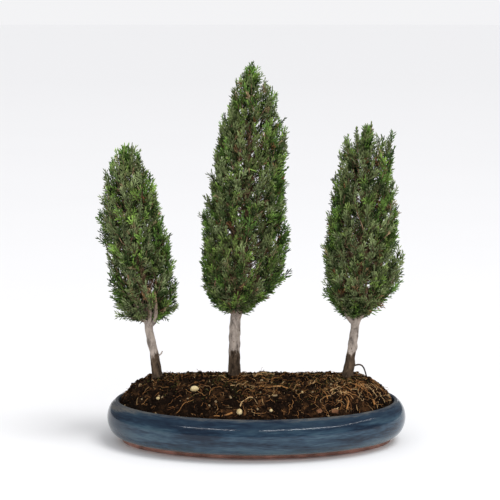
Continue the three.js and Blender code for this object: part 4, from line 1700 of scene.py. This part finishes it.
def build_floor(stage):
    bm = bmesh.new()
    bmesh.ops.create_circle(bm, cap_ends=True, segments=64, radius=60.0)
    mesh = keep_mesh("studio_floor", bm)
    finish, tree, shader, place = new_finish("studio_floor", 0.9, 0.1)
    tone, _ = add_mottling(tree, place, 2.0, 40.0, 0.2)
    colour = add_ramp(tree, tone, shades_of(stage.floor, [(0.0, 0.985), (1.0, 1.0)]))
    # Painted shade: the floor's colour darkens with distance from the grove, so that far off it
    # fades into the backdrop.
    far = add_node(tree, "ShaderNodeVectorMath", {"Vector": place}, operation="LENGTH")
    fade = add_math(tree, "POWER", add_band(tree, far.outputs["Value"], 0.3, 9.0), 0.5)
    colour = add_mix(tree, fade, colour, [c * FLOOR_FAR_SHADE for c in stage.floor])
    tree.links.new(colour, shader.inputs["Base Color"])
    mesh.materials.append(finish)
    floor = place_in_scene("studio_floor", mesh, (0, 0, -0.1 * MM))


def build_world(stage):
    world = bpy.data.worlds.new("studio_light")
    bpy.context.scene.world = world
    world.use_nodes = True
    tree = world.node_tree
    background = next(n for n in tree.nodes if n.type == "BACKGROUND")
    background.inputs["Color"].default_value = (0.985, 0.985, 1.0, 1.0)
    rays = add_node(tree, "ShaderNodeLightPath").outputs
    seen = add_math(tree, "MULTIPLY", rays["Is Camera Ray"], SKY_SEEN - stage.daylight)
    glossy = add_math(tree, "MULTIPLY", rays["Is Glossy Ray"], SKY_MIRRORED - stage.daylight)
    strength = add_math(tree, "ADD", add_math(tree, "ADD", seen, glossy), stage.daylight)
    tree.links.new(strength, background.inputs["Strength"])


def build_lights(stage):
    sun = bpy.data.lights.new("sun", "SUN")
    sun.energy, sun.angle = stage.sunlight, math.radians(30)
    lamp = place_in_scene("sun", sun, heading=-around_grove(58, 64, 1.0))
    lamp.visible_glossy = False
    for name, (azimuth, length, power) in STRIPS.items():
        light = bpy.data.lights.new(name, "AREA")
        light.shape = "RECTANGLE"
        light.size, light.size_y = length, 0.05
        light.energy = power
        spot = around_grove(azimuth, 34, 2.4)
        place_in_scene(name, light, spot, Vector((0, 0, 0.03)) - spot)


def build_camera(stage):
    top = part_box("centre_tree_top_bough")[1].z
    aim = Vector(((POT_LOW.x + POT_HIGH.x) / 2 - 6.4 * MM, 0, top / 2 + 3 * MM))
    camera = bpy.data.cameras.new("camera")
    camera.lens = stage.lens
    camera.sensor_width = 36.0
    camera.clip_start, camera.clip_end = 0.05, 200.0
    back = Vector((0, -math.cos(stage.pitch), math.sin(stage.pitch)))
    viewer = place_in_scene("camera", camera, aim + back * stage.distance, -back)
    bpy.context.scene.camera = viewer


def build_stage(stage):
    build_floor(stage)
    build_world(stage)
    build_lights(stage)
    build_camera(stage)
    bpy.context.scene.view_settings.view_transform = "Standard"


# ---------------------------------------------------------------- operators and panel


class GROVE_OT_pot(bpy.types.Operator):
    """Build the glazed pot on its unglazed foot"""

    bl_idname = "grove.pot"
    bl_label = "Pot"

    def execute(self, context):
        build_pot(context.scene.grove_pot)
        return {"FINISHED"}


class GROVE_OT_drains(bpy.types.Operator):
    """Finish the drain screens and the wires that hold them"""

    bl_idname = "grove.drains"
    bl_label = "Drain screens and wires"

    def execute(self, context):
        build_drains()
        return {"FINISHED"}


class GROVE_OT_soil(bpy.types.Operator):
    """Build the heap of soil, with its crumbs, fibres, roots and moss"""

    bl_idname = "grove.soil"
    bl_label = "Soil"

    def execute(self, context):
        pot, soil = context.scene.grove_pot, context.scene.grove_soil
        build_soil(pot, soil)
        surface = heap_surface()
        for scatter in (scatter_crumbs, scatter_fibres, scatter_roots, scatter_moss):
            scatter(pot, soil, surface)
        return {"FINISHED"}


class GROVE_OT_litter(bpy.types.Operator):
    """Build the pebbles, the chips of bark and the roots that lie on the heap"""

    bl_idname = "grove.litter"
    bl_label = "Pebbles, chips and roots"

    def execute(self, context):
        build_pebbles()
        build_chips()
        build_surface_roots()
        return {"FINISHED"}


class GROVE_OT_trunks(bpy.types.Operator):
    """Build the three trunks with their limbs"""

    bl_idname = "grove.trunks"
    bl_label = "Trunks"

    def execute(self, context):
        build_wood(context.scene.grove_wood)
        return {"FINISHED"}


class GROVE_OT_foliage(bpy.types.Operator):
    """Build the sprays of foliage on every bough, and the twigs that carry them"""

    bl_idname = "grove.foliage"
    bl_label = "Foliage"

    def execute(self, context):
        build_foliage(context.scene.grove_foliage, context.scene.grove_wood)
        return {"FINISHED"}


class GROVE_OT_stage(bpy.types.Operator):
    """Set up the floor, the lights and the camera"""

    bl_idname = "grove.stage"
    bl_label = "Stage"

    def execute(self, context):
        build_stage(context.scene.grove_stage)
        return {"FINISHED"}


OPERATORS = (
    GROVE_OT_pot,
    GROVE_OT_drains,
    GROVE_OT_soil,
    GROVE_OT_litter,
    GROVE_OT_trunks,
    GROVE_OT_foliage,
    GROVE_OT_stage,
)


class GROVE_PT_panel(bpy.types.Panel):
    bl_idname = "GROVE_PT_panel"
    bl_label = "Bonsai grove"
    bl_space_type = "VIEW_3D"
    bl_region_type = "UI"
    bl_category = "Grove"

    def draw(self, context):
        for operator in OPERATORS:
            self.layout.operator(operator.bl_idname)
        for name, group in SETTINGS.items():
            box = self.layout.box()
            box.label(text=name)
            for setting in group.__annotations__:
                box.prop(getattr(context.scene, name), setting)


def register():
    for cls in (*SETTINGS.values(), *OPERATORS, GROVE_PT_panel):
        bpy.utils.register_class(cls)
    for name, group in SETTINGS.items():
        setattr(bpy.types.Scene, name, PointerProperty(type=group))


def unregister():
    for name in SETTINGS:
        delattr(bpy.types.Scene, name)
    for cls in (GROVE_PT_panel, *reversed(OPERATORS), *SETTINGS.values()):
        bpy.utils.unregister_class(cls)


def main():
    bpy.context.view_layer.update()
    register()
    bpy.ops.grove.pot()
    bpy.ops.grove.drains()
    bpy.ops.grove.soil()
    bpy.ops.grove.litter()
    bpy.ops.grove.trunks()
    bpy.ops.grove.foliage()
    bpy.ops.grove.stage()


if __name__ == "__main__":
    main()
